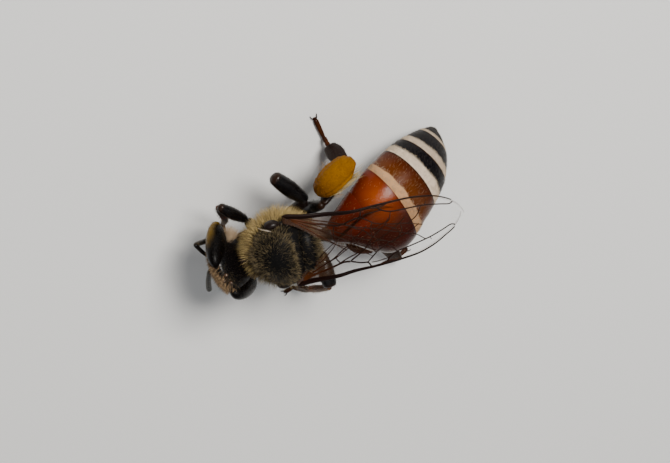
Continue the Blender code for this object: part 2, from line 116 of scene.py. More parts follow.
def spline(knots: Sequence[Sequence[float]], count: int) -> Array:
    """A smooth curve through knots.

    Each stretch is the Catmull-Rom cubic of the four knots round it, with the end knots doubled.

    Args:
        knots: Points of any dimension.
        count: How many points to read, evenly over the knots.
    Returns:
        The points, one per row.
    """
    given = np.asarray(knots, float)
    padded = np.vstack([2 * given[0] - given[1], given, 2 * given[-1] - given[-2]])
    place = np.linspace(0.0, len(given) - 1.0, count)
    first = np.minimum(place.astype(int), len(given) - 2)
    t = (place - first)[:, None]
    a, b, c, d = (padded[first + k] for k in range(4))
    return 0.5 * (2 * b + (c - a) * t + (2 * a - 5 * b + 4 * c - d) * t ** 2
                  + (3 * b - a - 3 * c + d) * t ** 3)


def profile(knots: Sequence[Sequence[float]], places: Array) -> Array:
    """Value at each place of a smooth line through (place, value) knots."""
    line = spline(knots, 24 * len(knots))
    return np.interp(places, np.maximum.accumulate(line[:, 0]), line[:, 1])


def ripple(points: Array, waves: int, scale: float, seed: int) -> Array:
    """Gentle random relief: the mean of sine waves that run in random directions.

    Args:
        points: Places, with x, y and z on the last axis, in millimetres.
        waves: How many waves are added.
        scale: Mean wavelength in millimetres.
        seed: Start of the random draws.
    Returns:
        Numbers of about -1 to 1, one per place.
    """
    rng = np.random.default_rng(seed)
    directions = unit(rng.normal(size=(waves, 3))) * rng.uniform(0.6, 1.7, (waves, 1))
    phases = rng.uniform(0.0, 2.0 * math.pi, waves)
    return np.sin(points @ directions.T * (2.0 * math.pi / scale) + phases).mean(axis=-1) * 1.8


# ---- placing ----
@dataclass(frozen=True)
class Placement:
    """A turn and a shift that carry a sub-assembly's own frame into the world, in millimetres."""

    turn: Array
    shift: Array

    def points(self, local: Array) -> Array:
        """World places of local points."""
        return local @ self.turn.T + self.shift

    def directions(self, local: Array) -> Array:
        """World directions of local ones."""
        return local @ self.turn.T

    def local(self, points: Array) -> Array:
        """Local places of world points."""
        return (points - self.shift) @ self.turn

    def surface(self, local: Array) -> "Surface":
        """Closed surface of a grid of local points."""
        return Surface(self.points(local))

    def inside(self, shift: Sequence[float], turn: Array) -> "Placement":
        """Placement of a frame that stands inside this one."""
        return Placement(self.turn @ turn, self.points(np.asarray(shift, float)))


def rotation(x: float = 0.0, y: float = 0.0, z: float = 0.0) -> Array:
    """Turn about X, then Y, then Z, by angles in radians, as a 3 by 3 matrix for column vectors."""
    cx, sx, cy, sy, cz, sz = math.cos(x), math.sin(x), math.cos(y), math.sin(y), math.cos(z), math.sin(z)
    about_x = np.array([[1, 0, 0], [0, cx, -sx], [0, sx, cx]])
    about_y = np.array([[cy, 0, sy], [0, 1, 0], [-sy, 0, cy]])
    about_z = np.array([[cz, -sz, 0], [sz, cz, 0], [0, 0, 1]])
    return about_z @ about_y @ about_x


WORLD = Placement(np.eye(3), STANCE_SHIFT)
TRUNK = Placement(rotation(x=TRUNK_PITCH), STANCE_SHIFT + UP * TRUNK_HEIGHT)


# ---- meshes ----
def build_object(name: str, vertices: Array, faces: Sequence[Array], material: Material,
                 attributes: Marks | None = None, uv: Array | None = None) -> Object:
    """Make a mesh object from whole arrays.

    Args:
        name: Name of the piece.
        vertices: Places in millimetres in the world frame, one per row.
        faces: Arrays of vertex numbers, each with one face per row and its own count of corners.
        material: The finish.
        attributes: Numbers per vertex that the finish reads, by name.
        uv: Place of every corner on the piece's own unwrap, in the order of the faces.
    Returns:
        The object, at the origin, unturned and unscaled, smooth shaded.
    """
    mesh = bpy.data.meshes.new(name)
    counts = np.concatenate([np.full(len(f), f.shape[1], np.int32) for f in faces])
    corners = np.concatenate([f.ravel() for f in faces]).astype(np.int32)
    starts = np.concatenate([[0], np.cumsum(counts)[:-1]]).astype(np.int32)
    mesh.vertices.add(len(vertices))
    mesh.vertices.foreach_set("co", (np.asarray(vertices, np.float32) * MM).ravel())
    mesh.loops.add(len(corners))
    mesh.loops.foreach_set("vertex_index", corners)
    mesh.polygons.add(len(counts))
    mesh.polygons.foreach_set("loop_start", starts)
    mesh.polygons.foreach_set("use_smooth", np.ones(len(counts), bool))
    mesh.update(calc_edges=True)
    for key, values in (attributes or {}).items():
        stored = mesh.attributes.new(key, "FLOAT", "POINT")
        stored.data.foreach_set("value", np.asarray(values, np.float32).ravel())
    if uv is not None:
        layer = mesh.uv_layers.new(name="OFBake")
        layer.data.foreach_set("uv", np.asarray(uv, np.float32).ravel())
    mesh.materials.append(material)
    made = bpy.data.objects.new(name, mesh)
    bpy.context.scene.collection.objects.link(made)
    return made


def ring_quads(index: Array) -> Array:
    """Four-cornered faces between neighbouring rows of vertex numbers that wrap round."""
    right = np.roll(index, -1, 1)
    return np.stack([index[:-1], right[:-1], right[1:], index[1:]], -1).reshape(-1, 4)


def repeated(parts: Sequence[Array], count: int, vertices: int) -> list[Array]:
    """Faces of so many copies of a small mesh with so many vertices."""
    offsets = (np.arange(count) * vertices)[:, None, None]
    return [(part[None] + offsets).reshape(-1, part.shape[1]) for part in parts]


@dataclass
class Roots:
    """Where hairs grow: places, outward normals, the lie along and across the skin, and unwrap."""

    points: Array
    normals: Array
    along: Array
    across: Array
    uv: Array


@dataclass
class Surface:
    """Points on a grid of two parameters: rows run along the piece, columns run round it.

    Where wraps is set the last column joins the first, and each end row closes on one point in its
    middle. The grid is kept in the world frame in millimetres.
    """

    points: Array
    wraps: bool = True
    facing: float = 1.0

    def __post_init__(self) -> None:
        """Turn a closed surface's faces outwards."""
        if self.wraps and self.volume() < 0.0:
            self.facing = -1.0

    def volume(self) -> float:
        """Signed volume: a sixth of the triple products of every face's corners about the middle."""
        grid = self.points - self.points.reshape(-1, 3).mean(0)
        a, b = grid[:-1], grid[1:]
        c, d = np.roll(grid, -1, 1)[1:], np.roll(grid, -1, 1)[:-1]
        return float((np.cross(a, d) * b).sum() + (np.cross(d, c) * b).sum())

    def normals(self) -> Array:
        """Outward normals: steps round the columns crossed with steps along the rows."""
        if self.wraps:
            around = 0.5 * (np.roll(self.points, -1, 1) - np.roll(self.points, 1, 1))
        else:
            around = np.gradient(self.points, axis=1)
        return unit(np.cross(around, np.gradient(self.points, axis=0))) * self.facing

    def faces(self) -> tuple[Array, Array, Array]:
        """Vertices, four-cornered faces and the three-cornered faces of both caps, when it wraps."""
        rows, columns = self.points.shape[:2]
        index = np.arange(rows * columns).reshape(rows, columns)
        quads, right = ring_quads(index), np.roll(index, -1, 1)
        vertices = np.vstack([self.points.reshape(-1, 3), self.points[[0, -1]].mean(1)])
        first, last = np.full((2, columns), index.size) + [[0], [1]]
        low = np.stack([right[0], index[0], first], -1)
        fans = np.vstack([low, np.stack([index[-1], right[-1], last], -1)])
        if self.facing < 0.0:
            quads, fans = quads[:, ::-1], fans[:, ::-1]
        return vertices, quads, fans

    def stored(self, grid: Array | float) -> Array:
        """A grid of numbers as one number per vertex; a cap's point takes the mean of its row."""
        flat = np.broadcast_to(grid, self.points.shape[:2])
        return np.concatenate([flat.ravel(), [flat[0].mean(), flat[-1].mean()]])

    def build(self, name: str, material: Material, attributes: Marks) -> Object:
        """Make the object; attributes hold one number per grid point."""
        vertices, quads, fans = self.faces()
        stored = {key: self.stored(grid) for key, grid in attributes.items()}
        return build_object(name, vertices, [quads, fans], material, stored)

    def scatter(self, count: int, seed: int, density: Array | float = 1.0) -> Roots:
        """Roots spread over the surface.

        Each face is drawn with a chance of its area times the density, and the root lies at a
        random place inside it.

        Args:
            count: How many roots.
            seed: Start of the random draws.
            density: Share of roots wanted, one per grid point, or one for all.
        Returns:
            The roots, with their place on the unwrap as (share round, share along).
        """
        rng = np.random.default_rng(seed)
        grid = self.points
        wrapped, weight, normals = (
            np.concatenate([values, values[:, :1]], 1) if self.wraps else values
            for values in (grid, np.broadcast_to(density, grid.shape[:2]), self.normals()))
        a, b, c, d = wrapped[:-1, :-1], wrapped[:-1, 1:], wrapped[1:, 1:], wrapped[1:, :-1]
        area = 0.5 * np.linalg.norm(np.cross(c - a, d - b), axis=-1)
        share = area * 0.25 * (weight[:-1, :-1] + weight[:-1, 1:] + weight[1:, 1:] + weight[1:, :-1])
        rows, columns = share.shape
        picked = rng.choice(rows * columns, count, p=(share / share.sum()).ravel())
        row, column = picked // columns, picked % columns
        s, t = rng.random(count)[:, None], rng.random(count)[:, None]

        def read(values: Array) -> Array:
            """Value inside each drawn face, blended from its four corners."""
            near = values[row, column] * (1 - t) + values[row, column + 1] * t
            far = values[row + 1, column] * (1 - t) + values[row + 1, column + 1] * t
            return near * (1 - s) + far * s

        along = d[row, column] - a[row, column]
        across = b[row, column] - a[row, column]
        uv = np.stack([(column + t[:, 0]) / columns, (row + s[:, 0]) / rows], -1)
        return Roots(read(wrapped), unit(read(normals)), unit(along), unit(across), uv)


def tube(path: Array, widths: Array, hint: Array, columns: int = 16, power: float = 2.0) -> Surface:
    """A profile carried along a path.

    The profile is an oval (or, with a power above 2, a squarer one) whose half width lies along
    the hint and whose half thickness lies across it. Its corners are at cos and sin of the angle,
    each raised to 2 over the power.

    Args:
        path: Middle points, one per row.
        widths: Half width and half thickness at each point.
        hint: Direction, or one per point, that the width keeps as near to as it can.
        columns: Points round the profile.
        power: Squareness of the profile.
    Returns:
        The closed surface.
    """
    tangent = unit(np.gradient(path, axis=0))
    hint = np.broadcast_to(hint, path.shape)
    side = unit(hint - tangent * (hint * tangent).sum(-1, keepdims=True))
    up = np.cross(tangent, side)
    angle = ring_angles(columns)
    c, s = np.cos(angle), np.sin(angle)
    c = np.sign(c) * np.abs(c) ** (2.0 / power)
    s = np.sign(s) * np.abs(s) ** (2.0 / power)
    ring = (side[:, None] * (widths[:, :1, None] * c[None, :, None])
            + up[:, None] * (widths[:, 1:2, None] * s[None, :, None]))
    return Surface(path[:, None] + ring)


POLE_GAP = 0.012


def ovoid(size: Sequence[float], rows: int, columns: int, axis: int,
          shape: Callable[[Array], Array] | None = None) -> Array:
    """Grid on a sphere stretched to a size, with its poles on one axis.

    A point at share v from pole to pole and angle u round has sin(pi v)cos(u) and sin(pi v)sin(u)
    across the axis and -cos(pi v) along it.

    Args:
        size: Width along x, y and z in millimetres.
        rows: Points from pole to pole.
        columns: Points round.
        axis: The axis through the poles.
        shape: Moves the unit sphere's points before they are stretched.
    Returns:
        The grid of points about the origin.
    """
    v = np.linspace(POLE_GAP, 1.0 - POLE_GAP, rows)[:, None] * math.pi
    u = ring_angles(columns)[None]
    height = np.broadcast_to(-np.cos(v), (rows, columns))
    base = np.stack([np.sin(v) * np.cos(u), np.sin(v) * np.sin(u), height], -1)
    sphere = base[..., ((2, 0, 1), (0, 2, 1), (0, 1, 2))[axis]]
    if shape is not None:
        sphere = shape(sphere)
    return sphere * size * 0.5


def join_surfaces(name: str, surfaces: Sequence[Surface], material: Material,
                  attributes: Sequence[Marks] = ()) -> Object:
    """One object from several closed surfaces, with their attributes laid end to end.

    Args:
        name: Name of the piece.
        surfaces: The surfaces.
        material: The finish.
        attributes: For each surface, numbers per grid point by name.
    Returns:
        The object.
    """
    points, quads, fans = zip(*(surface.faces() for surface in surfaces))
    starts = np.cumsum([0] + [len(rows) for rows in points])
    faces = [np.vstack([part + start for part, start in zip(parts, starts)]) for parts in (quads, fans)]
    pairs = list(zip(surfaces, attributes))
    stored = {key: np.concatenate([surface.stored(marks[key]) for surface, marks in pairs])
              for key in (attributes[0] if attributes else ())}
    return build_object(name, np.vstack(points), faces, material, stored)


# ---- hairs ----
HAIR_SIDES = 3
BAKE_PATCH = 0.003


def hairs(name: str, roots: Roots, directions: Array, lengths: Array, widths: Array,
          bends: Array, tones: Array, material: Material, rings: int) -> Object:
    """One joined mesh of tapering, bent hairs.

    A hair's middle line at share t is root + length (t direction + t^2 bend). Round it stand
    three-cornered rings whose width falls as (1 - t) to the 0.7, and a point closes the tip.

    Args:
        name: Name of the piece.
        roots: Where the hairs grow.
        directions: Way each hair starts out.
        lengths: Length of each in millimetres.
        widths: Half width of each at its root in millimetres.
        bends: Sideways pull of each, as a share of its length.
        tones: Number per hair that the finish reads, 0 pale to 1 dark.
        material: The finish.
        rings: Rings below the tip.
    Returns:
        The object, with an unwrap on which each hair is a small patch at its root's place.
    """
    count = len(roots.points)
    t = np.linspace(0.0, 1.0, rings + 1)[:-1]
    way = unit(directions)
    line = way[:, None] * t[None, :, None] + bends[:, None] * (t ** 2)[None, :, None]
    middle = roots.points[:, None] + line * lengths[:, None, None]
    side = unit(np.cross(way, roots.normals + 0.31 * roots.along))
    other = np.cross(way, side)
    angle = 2.0 * math.pi * np.arange(HAIR_SIDES) / HAIR_SIDES
    spoke = side[:, None] * np.cos(angle)[None, :, None] + other[:, None] * np.sin(angle)[None, :, None]
    radius = widths[:, None] * (1.0 - t)[None] ** 0.7
    ring = middle[:, :, None] + spoke[:, None] * radius[:, :, None, None]
    tip = roots.points + (way + bends) * lengths[:, None]
    per_hair = rings * HAIR_SIDES + 1
    vertices = np.concatenate([ring.reshape(count, -1, 3), tip[:, None]], 1)
    index = np.arange(rings * HAIR_SIDES).reshape(rings, HAIR_SIDES)
    points = np.stack([index[-1], np.roll(index[-1], -1), np.full(HAIR_SIDES, per_hair - 1)], -1)
    faces = repeated((ring_quads(index), points, index[:1, ::-1]), count, per_hair)
    near_k = np.arange(HAIR_SIDES) / HAIR_SIDES
    next_k = near_k + 1.0 / HAIR_SIDES
    low_t, high_t = np.repeat(t[:-1], HAIR_SIDES), np.repeat(t[1:], HAIR_SIDES)
    near_all, next_all = np.tile(near_k, rings - 1), np.tile(next_k, rings - 1)
    end_t = np.full(HAIR_SIDES, t[-1])
    patches = (
        np.stack([near_all, low_t, next_all, low_t, next_all, high_t, near_all, high_t], -1),
        np.stack([near_k, end_t, next_k, end_t, 0.5 * (near_k + next_k), np.ones(HAIR_SIDES)], -1),
        np.stack([near_k[::-1], np.zeros(HAIR_SIDES)], -1).reshape(1, -1),
    )
    spot = roots.uv[:, None] * (1.0 - BAKE_PATCH)
    corner_uv = [(spot + patch.reshape(1, -1, 2) * BAKE_PATCH).reshape(-1, 2) for patch in patches]
    along = np.tile(np.append(np.repeat(t, HAIR_SIDES), 1.0), count)
    stored = {"along": along, "tone": np.repeat(tones, per_hair)}
    return build_object(name, vertices.reshape(-1, 3), faces, material, stored, np.concatenate(corner_uv))


@dataclass(frozen=True)
class Coat:
    """How one patch of hair looks: how many, how long and thick, and how they lie."""

    count: int
    length: tuple[float, float]
    width: float
    lift: float
    lie: float
    spread: float = 0.25
    droop: float = 0.15
    tone: tuple[float, float] = (0.2, 0.6)
    rings: int = 2

    def grow(self, name: str, roots: Roots, way: Array, material: Material,
             seed: int, tone_shift: Array | float = 0.0) -> Object:
        """Grow the coat on given roots.

        Each hair starts along lift times the normal plus lie times the given way plus a random
        spread, and droops back along the way.

        Args:
            name: Name of the piece.
            roots: Where the hairs grow.
            way: Direction along the skin that they lie in, one per root.
            material: The finish.
            seed: Start of the random draws.
            tone_shift: Added to the tone, one per root or one for all.
        Returns:
            The coat's object.
        """
        rng = np.random.default_rng(seed)
        count = len(roots.points)
        start = roots.normals * self.lift + unit(way) * self.lie
        start = start + rng.normal(size=(count, 3)) * self.spread
        lengths = rng.uniform(*self.length, count)
        widths = self.width * rng.uniform(0.75, 1.2, count)
        bends = unit(way) * self.droop + rng.normal(size=(count, 3)) * 0.06
        tones = np.clip(rng.uniform(*self.tone, count) + tone_shift, 0.0, 1.0)
        return hairs(name, roots, start, lengths, widths, bends, tones, material, self.rings)


# ---- shader expressions ----
class Value:
    """A node's output socket; arithmetic on it adds Math nodes to the same material."""

    def __init__(self, shader: "Shader", socket: bpy.types.NodeSocket) -> None:
        """Wrap a socket of a shader's tree."""
        self.shader = shader
        self.socket = socket

    def _math(self, operation: str, first: "Value | float", second: "Value | float") -> "Value":
        """A Math node on two values."""
        return self.shader.node("ShaderNodeMath", {"operation": operation}, {0: first, 1: second})

    def __add__(self, other: "Value | float") -> "Value":
        """This plus other."""
        return self._math("ADD", self, other)

    def __sub__(self, other: "Value | float") -> "Value":
        """This minus other."""
        return self._math("SUBTRACT", self, other)

    def __rsub__(self, other: float) -> "Value":
        """Other minus this."""
        return self._math("SUBTRACT", other, self)

    def __mul__(self, other: "Value | float") -> "Value":
        """This times other."""
        return self._math("MULTIPLY", self, other)

    __radd__ = __add__

    def eased(self, low: float, high: float) -> "Value":
        """0 at low, 1 at high, eased between."""
        return self.shader.node("ShaderNodeMapRange", {"interpolation_type": "SMOOTHSTEP"},
                                {0: self, 1: low, 2: high})


class Shader:
    """One material's nodes, made by one method and joined by expressions."""

    def __init__(self, name: str) -> None:
        """Start an empty material."""
        self.material = bpy.data.materials.new(name)
        self.material.use_nodes = True
        self.tree = self.material.node_tree
        self.tree.nodes.clear()

    def node(self, kind: str, settings: dict[str, object] | None = None,
             inputs: dict[int | str, object] | None = None, output: int | str = 0) -> Value:
        """Add a node.

        Args:
            kind: The node's type.
            settings: Properties, set before anything is linked.
            inputs: Values or linked values of its sockets, by number or name.
            output: Which output to hand back.
        Returns:
            That output as a value.
        """
        made = self.tree.nodes.new(kind)
        for key, setting in (settings or {}).items():
            setattr(made, key, setting)
        for key, given in (inputs or {}).items():
            if isinstance(given, Value):
                self.tree.links.new(given.socket, made.inputs[key])
            elif isinstance(given, tuple) and made.inputs[key].type == "RGBA":
                made.inputs[key].default_value = (*given, 1.0)
            else:
                made.inputs[key].default_value = given
        return Value(self, made.outputs[output]) if made.outputs else None

    def attribute(self, name: str) -> Value:
        """A number stored on the mesh."""
        return self.node("ShaderNodeAttribute", {"attribute_name": name}, output="Fac")

    def place(self, stretch: Point = (1.0, 1.0, 1.0)) -> Value:
        """Object coordinates in millimetres, stretched along the axes."""
        own = self.node("ShaderNodeTexCoord", output="Object")
        scale = tuple(k / MM for k in stretch)
        return self.node("ShaderNodeVectorMath", {"operation": "MULTIPLY"}, {0: own, 1: scale})

    def noise(self, per_mm: float, detail: float = 3.0, stretch: Point = (1.0, 1.0, 1.0)) -> Value:
        """Noise of about 0 to 1 with so many lumps in a millimetre."""
        return self.node("ShaderNodeTexNoise", {"noise_dimensions": "3D"},
                         {"Vector": self.place(stretch), "Scale": per_mm, "Detail": detail})

    def cells(self, per_mm: float) -> Value:
        """Distance to the nearest of random cell middles, so many in a millimetre."""
        return self.node("ShaderNodeTexVoronoi", {"feature": "F1"},
                         {"Vector": self.place(), "Scale": per_mm}, output="Distance")

    def mix(self, share: "Value | float", low: "Value | Colour", high: "Value | Colour") -> Value:
        """A colour between two."""
        return self.node("ShaderNodeMix", {"data_type": "RGBA"}, {0: share, 6: low, 7: high}, output=2)

    def bump(self, height: Value, depth: float, under: Value | None = None) -> Value:
        """Relief of a depth in millimetres, over another if one is given."""
        inputs = {"Height": height, "Distance": depth * MM, "Strength": 1.0}
        if under is not None:
            inputs["Normal"] = under
        return self.node("ShaderNodeBump", None, inputs)

    def finish(self, inputs: dict[str, object]) -> Material:
        """Close the material with a Principled shader."""
        surface = self.node("ShaderNodeBsdfPrincipled", None, inputs)
        self.node("ShaderNodeOutputMaterial", None, {"Surface": surface})
        return self.material


# ---- finishes ----
@dataclass(frozen=True)
class Shell:
    """Hard, glossy insect shell with pits, mottling and a stained second colour.

    The mesh's "tone" number leads from the colour to the stain.
    """

    name: str
    colour: Colour
    stain: Colour
    roughness: float = 0.28
    coat: float = 0.04
    pits: float = 0.006
    pits_per_mm: float = 22.0
    mottle: float = 0.5
    sheen: float = 0.20

    def material(self) -> Material:
        """Build the material."""
        shader = Shader(self.name)
        cloud = shader.noise(3.0, 4.0)
        tone = shader.attribute("tone")
        share = (tone + (cloud - 0.5) * self.mottle).eased(0.0, 1.0)
        colour = shader.mix(share, self.colour, self.stain)
        fine = shader.noise(60.0, 2.0)
        rough = self.roughness + (fine - 0.5) * 0.16 + (cloud - 0.5) * 0.12
        relief = shader.bump(shader.cells(self.pits_per_mm).eased(0.0, 0.42), self.pits)
        relief = shader.bump(fine, self.pits * 0.35, relief)
        return shader.finish({"Base Color": colour, "Roughness": rough, "Normal": relief,
                              "Coat Weight": self.coat, "Coat Roughness": 0.12,
                              "Specular IOR Level": self.sheen})


@dataclass(frozen=True)
class BandedShell:
    """The abdomen's plates: orange-red or black shell, white felt bands and a thin paler rim.

    The mesh carries "rust" (0 black to 1 orange-red), "deep" (towards a dark red that is partly the plates'
    own and partly painted shade), the bright orange of a painted highlight on plate 2, "bronze" (brown with
    worn felt), "felt" (white band) and "rim".
    """

    name: str = "abdomen_plate"
    black: Colour = (0.004, 0.0035, 0.005)
    rust: Colour = (0.112, 0.0095, 0.0007)
    # A dark red that is partly the plates' own colour and partly painted shade, on the bee's left side and
    # under the wings.
    maroon_and_shade: Colour = (0.030, 0.0018, 0.0007)
    # Bright orange of a painted highlight, where the key light falls on plate 2.
    glow: Colour = (0.36, 0.068, 0.0022)
    bronze: Colour = (0.095, 0.024, 0.003)
    felt: Colour = (0.93, 0.79, 0.64)
    worn_felt: Colour = (0.52, 0.27, 0.115)
    rim: Colour = (0.020, 0.005, 0.002)

    def material(self) -> Material:
        """Build the material."""
        shader = Shader(self.name)
        cloud = shader.noise(2.2, 4.0)
        fine = shader.noise(48.0, 3.0)
        # Painted shade: the red darkens where the mesh's deep number rises.
        lit = shader.mix((shader.attribute("deep") + (cloud - 0.5) * 0.5).eased(0.05, 0.95),
                         self.rust, self.maroon_and_shade)
        # Painted highlight: brighter orange laid on where the key light falls.
        lit = shader.mix(shader.attribute("glow") * (cloud * 0.8 + 0.5), lit, self.glow)
        lit = shader.mix(shader.attribute("bronze") * (cloud * 0.5 + 0.75), lit, self.bronze)
        shell = shader.mix((shader.attribute("rust") + (cloud - 0.5) * 0.22).eased(0.2, 0.8),
                           self.black, lit)
        shell = shader.mix(shader.attribute("rim"), shell, self.rim)
        felt = (shader.attribute("felt") + (fine - 0.5) * 0.5).eased(0.30, 0.70)
        colour = shader.mix(felt, shell, shader.mix(shader.attribute("bronze"), self.felt, self.worn_felt))
        rough = 0.20 + (fine - 0.5) * 0.12 + felt * 0.5
        relief = shader.bump(shader.noise(16.0, 3.0), 0.006)
        relief = shader.bump(fine, 0.003, relief)
        return shader.finish({"Base Color": colour, "Roughness": rough, "Normal": relief,
                              "Coat Weight": (1.0 - felt) * 0.03, "Coat Roughness": 0.15,
                              "Specular IOR Level": 0.13})


@dataclass(frozen=True)
class FacetedEye:
    """A compound eye: dark, glossy and finely faceted, clearer and browner at its rim."""

    name: str = "eye_facets"
    dark: Colour = (0.0018, 0.0012, 0.001)
    amber: Colour = (0.150, 0.082, 0.003)
    facets_per_mm: float = 42.0

    def material(self) -> Material:
        """Build the material."""
        shader = Shader(self.name)
        cloud = shader.noise(5.0, 3.0)
        rim = (shader.attribute("rim") + (cloud - 0.5) * 0.35).eased(0.1, 0.95)
        colour = shader.mix(rim, self.dark, self.amber)
        relief = shader.bump(1.0 - shader.cells(self.facets_per_mm).eased(0.0, 0.6), 0.0035)
        return shader.finish({"Base Color": colour, "Roughness": 0.22 + cloud * 0.10,
                              "Normal": relief, "Specular IOR Level": 0.10})


@dataclass(frozen=True)
class Glass:
    """A smooth clear bead, for the three small eyes."""

    name: str = "small_eye"
    colour: Colour = (0.10, 0.045, 0.015)
    deep: Colour = (0.02, 0.01, 0.006)

    def material(self) -> Material:
        """Build the material."""
        shader = Shader(self.name)
        colour = shader.mix(shader.noise(20.0), self.colour, self.deep)
        return shader.finish({"Base Color": colour, "Roughness": 0.06, "Coat Weight": 1.0,
                              "Coat Roughness": 0.03})


@dataclass(frozen=True)
class Membrane:
    """Clear, faintly smoky wing skin with a fine wrinkle; "tone" makes it denser and browner."""

    name: str = "wing_skin"
    clear: Colour = (0.12, 0.055, 0.022)
    brown: Colour = (0.050, 0.017, 0.005)
    cover: float = 0.010
    dense: float = 0.68

    def material(self) -> Material:
        """Build the material."""
        shader = Shader(self.name)
        cloud = shader.noise(1.6, 3.0)
        tone = (shader.attribute("tone") + (cloud - 0.5) * 0.3).eased(0.0, 1.0)
        colour = shader.mix(tone, self.clear, self.brown)
        alpha = self.cover + tone * (self.dense - self.cover) + (cloud - 0.5) * 0.010
        relief = shader.bump(shader.noise(7.0, 4.0, (1.0, 0.35, 1.0)), 0.012)
        relief = shader.bump(shader.cells(38.0), 0.002, relief)
        return shader.finish({"Base Color": colour, "Roughness": 0.16 + cloud * 0.12,
                              "Alpha": alpha, "Normal": relief, "Specular IOR Level": 0.6})


@dataclass(frozen=True)
class Strand:
    """A hair: paler towards its tip, from a pale colour to a dark one by its "tone"."""

    name: str
    pale: Colour
    dark: Colour
    root: float = 0.55
    roughness: float = 0.42

    def material(self) -> Material:
        """Build the material."""
        shader = Shader(self.name)
        tone = shader.attribute("tone")
        body = shader.mix(tone, self.pale, self.dark)
        shaded = shader.mix(tone, tuple(c * self.root for c in self.pale),
                            tuple(c * self.root for c in self.dark))
        colour = shader.mix(shader.attribute("along").eased(0.0, 0.7), shaded, body)
        rough = self.roughness + (shader.noise(70.0) - 0.5) * 0.2
        return shader.finish({"Base Color": colour, "Roughness": rough, "Specular IOR Level": 0.35})


@dataclass(frozen=True)
class PackedPollen:
    """Moist, grainy packed pollen; "lobe" is riper and "damp" browner."""

    name: str = "packed_pollen"
    ochre: Colour = (0.215, 0.084, 0.0)
    orange: Colour = (0.34, 0.142, 0.002)
    brown: Colour = (0.080, 0.024, 0.0)

    def material(self) -> Material:
        """Build the material."""
        shader = Shader(self.name)
        grains = shader.cells(34.0)
        cloud = shader.noise(3.5, 4.0)
        ripe = shader.attribute("lobe") * 0.7 + cloud.eased(0.3, 0.75) * 0.45
        colour = shader.mix(ripe, self.ochre, self.orange)
        colour = shader.mix(shader.attribute("damp") * (cloud + 0.3), colour, self.brown)
        colour = shader.mix(grains.eased(0.30, 0.75) * 0.4, colour, self.brown)
        relief = shader.bump(1.0 - grains.eased(0.0, 0.7), 0.012)
        relief = shader.bump(shader.noise(14.0, 4.0), 0.02, relief)
        return shader.finish({"Base Color": colour, "Roughness": 0.62 + (cloud - 0.5) * 0.2,
                              "Normal": relief, "Specular IOR Level": 0.08})


@dataclass(frozen=True)
class PaleFloor:
    """Plain matt pale floor."""

    name: str = "pale_floor"
    colour: Colour = (0.86, 0.86, 0.85)

    def material(self) -> Material:
        """Build the material."""
        return Shader(self.name).finish({"Base Color": self.colour, "Roughness": 0.9})


class Slot(str, Enum):
    """The record's material slots."""

    BLACK = "black_cuticle"
    BROWN = "brown_cuticle"
    RUST = "rust_cuticle"
    EYE = "eye_surface"
    WING = "wing_membrane"
    POLLEN = "pollen_load"


class Side(Enum):
    """The two sides of the bee; the value is the sign of its X."""

    RIGHT = -1
    LEFT = 1

    @property
    def word(self) -> str:
        """The side's name in lower case."""
        return self.name.lower()


class Paints:
    """Every finish of the bee, built once."""

    def __init__(self) -> None:
        """Build all the finishes."""
        self.black = Shell("black_shell", (0.0025, 0.002, 0.0022), (0.018, 0.007, 0.003)).material()
        self.brown = Shell("brown_shell", (0.011, 0.0030, 0.0013), (0.14, 0.036, 0.008),
                           roughness=0.32, coat=0.0, pits=0.004, sheen=0.08).material()
        self.thorax = Shell("thorax_shell", (0.002, 0.0018, 0.0018), (0.010, 0.005, 0.003), roughness=0.46,
                            coat=0.0, pits=0.010, pits_per_mm=34.0, sheen=0.14).material()
        self.amber = Shell("amber_shell", (0.010, 0.005, 0.004), (0.006, 0.004, 0.003),
                           roughness=0.34, pits=0.003, sheen=0.2).material()
        # Pale finish of a painted highlight streak: a thin rod along the collar's side.
        self.ridge = Shell("pale_ridge", (0.50, 0.43, 0.36), (0.20, 0.13, 0.08), pits=0.002).material()
        self.plates = BandedShell().material()
        self.eye = FacetedEye().material()
        self.bead = Glass().material()
        self.membrane = Membrane().material()
        self.vein = Shell("wing_vein", (0.007, 0.0018, 0.001), (0.085, 0.022, 0.004),
                          roughness=0.50, coat=0.0, pits=0.001, mottle=0.10, sheen=0.12).material()
        self.tan_hair = Strand("tan_hair", (0.38, 0.285, 0.145), (0.005, 0.0035, 0.0025)).material()
        self.cream_hair = Strand("cream_hair", (0.76, 0.56, 0.23), (0.08, 0.045, 0.012)).material()
        self.white_hair = Strand("white_hair", (0.78, 0.64, 0.48), (0.48, 0.34, 0.21), root=0.8).material()
        self.gold_hair = Strand("gold_hair", (0.74, 0.49, 0.27), (0.05, 0.020, 0.006)).material()
        self.dark_hair = Strand("dark_hair", (0.060, 0.032, 0.014), (0.006, 0.004, 0.003)).material()
        self.pollen = PackedPollen().material()
        # A darker copy of the pollen finish: painted shade for the left load, which lies in the abdomen's
        # shade away from the key light.
        self.shaded_pollen = PackedPollen("shaded_packed_pollen", (0.065, 0.012, 0.0010), (0.10, 0.022, 0.0015),
                                       (0.025, 0.006, 0.001)).material()


def settle(piece: Object, slot: Slot, *nodes: str) -> None:
    """Ride a finished piece on the body and stand it for the solids it replaces, which are hidden."""
    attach(piece, "root")
    if nodes:
        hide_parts(*nodes)
    triangles = sum(len(p.vertices) - 2 for p in piece.data.polygons)
    LOG.info("%s: %d triangles", piece.name, triangles)


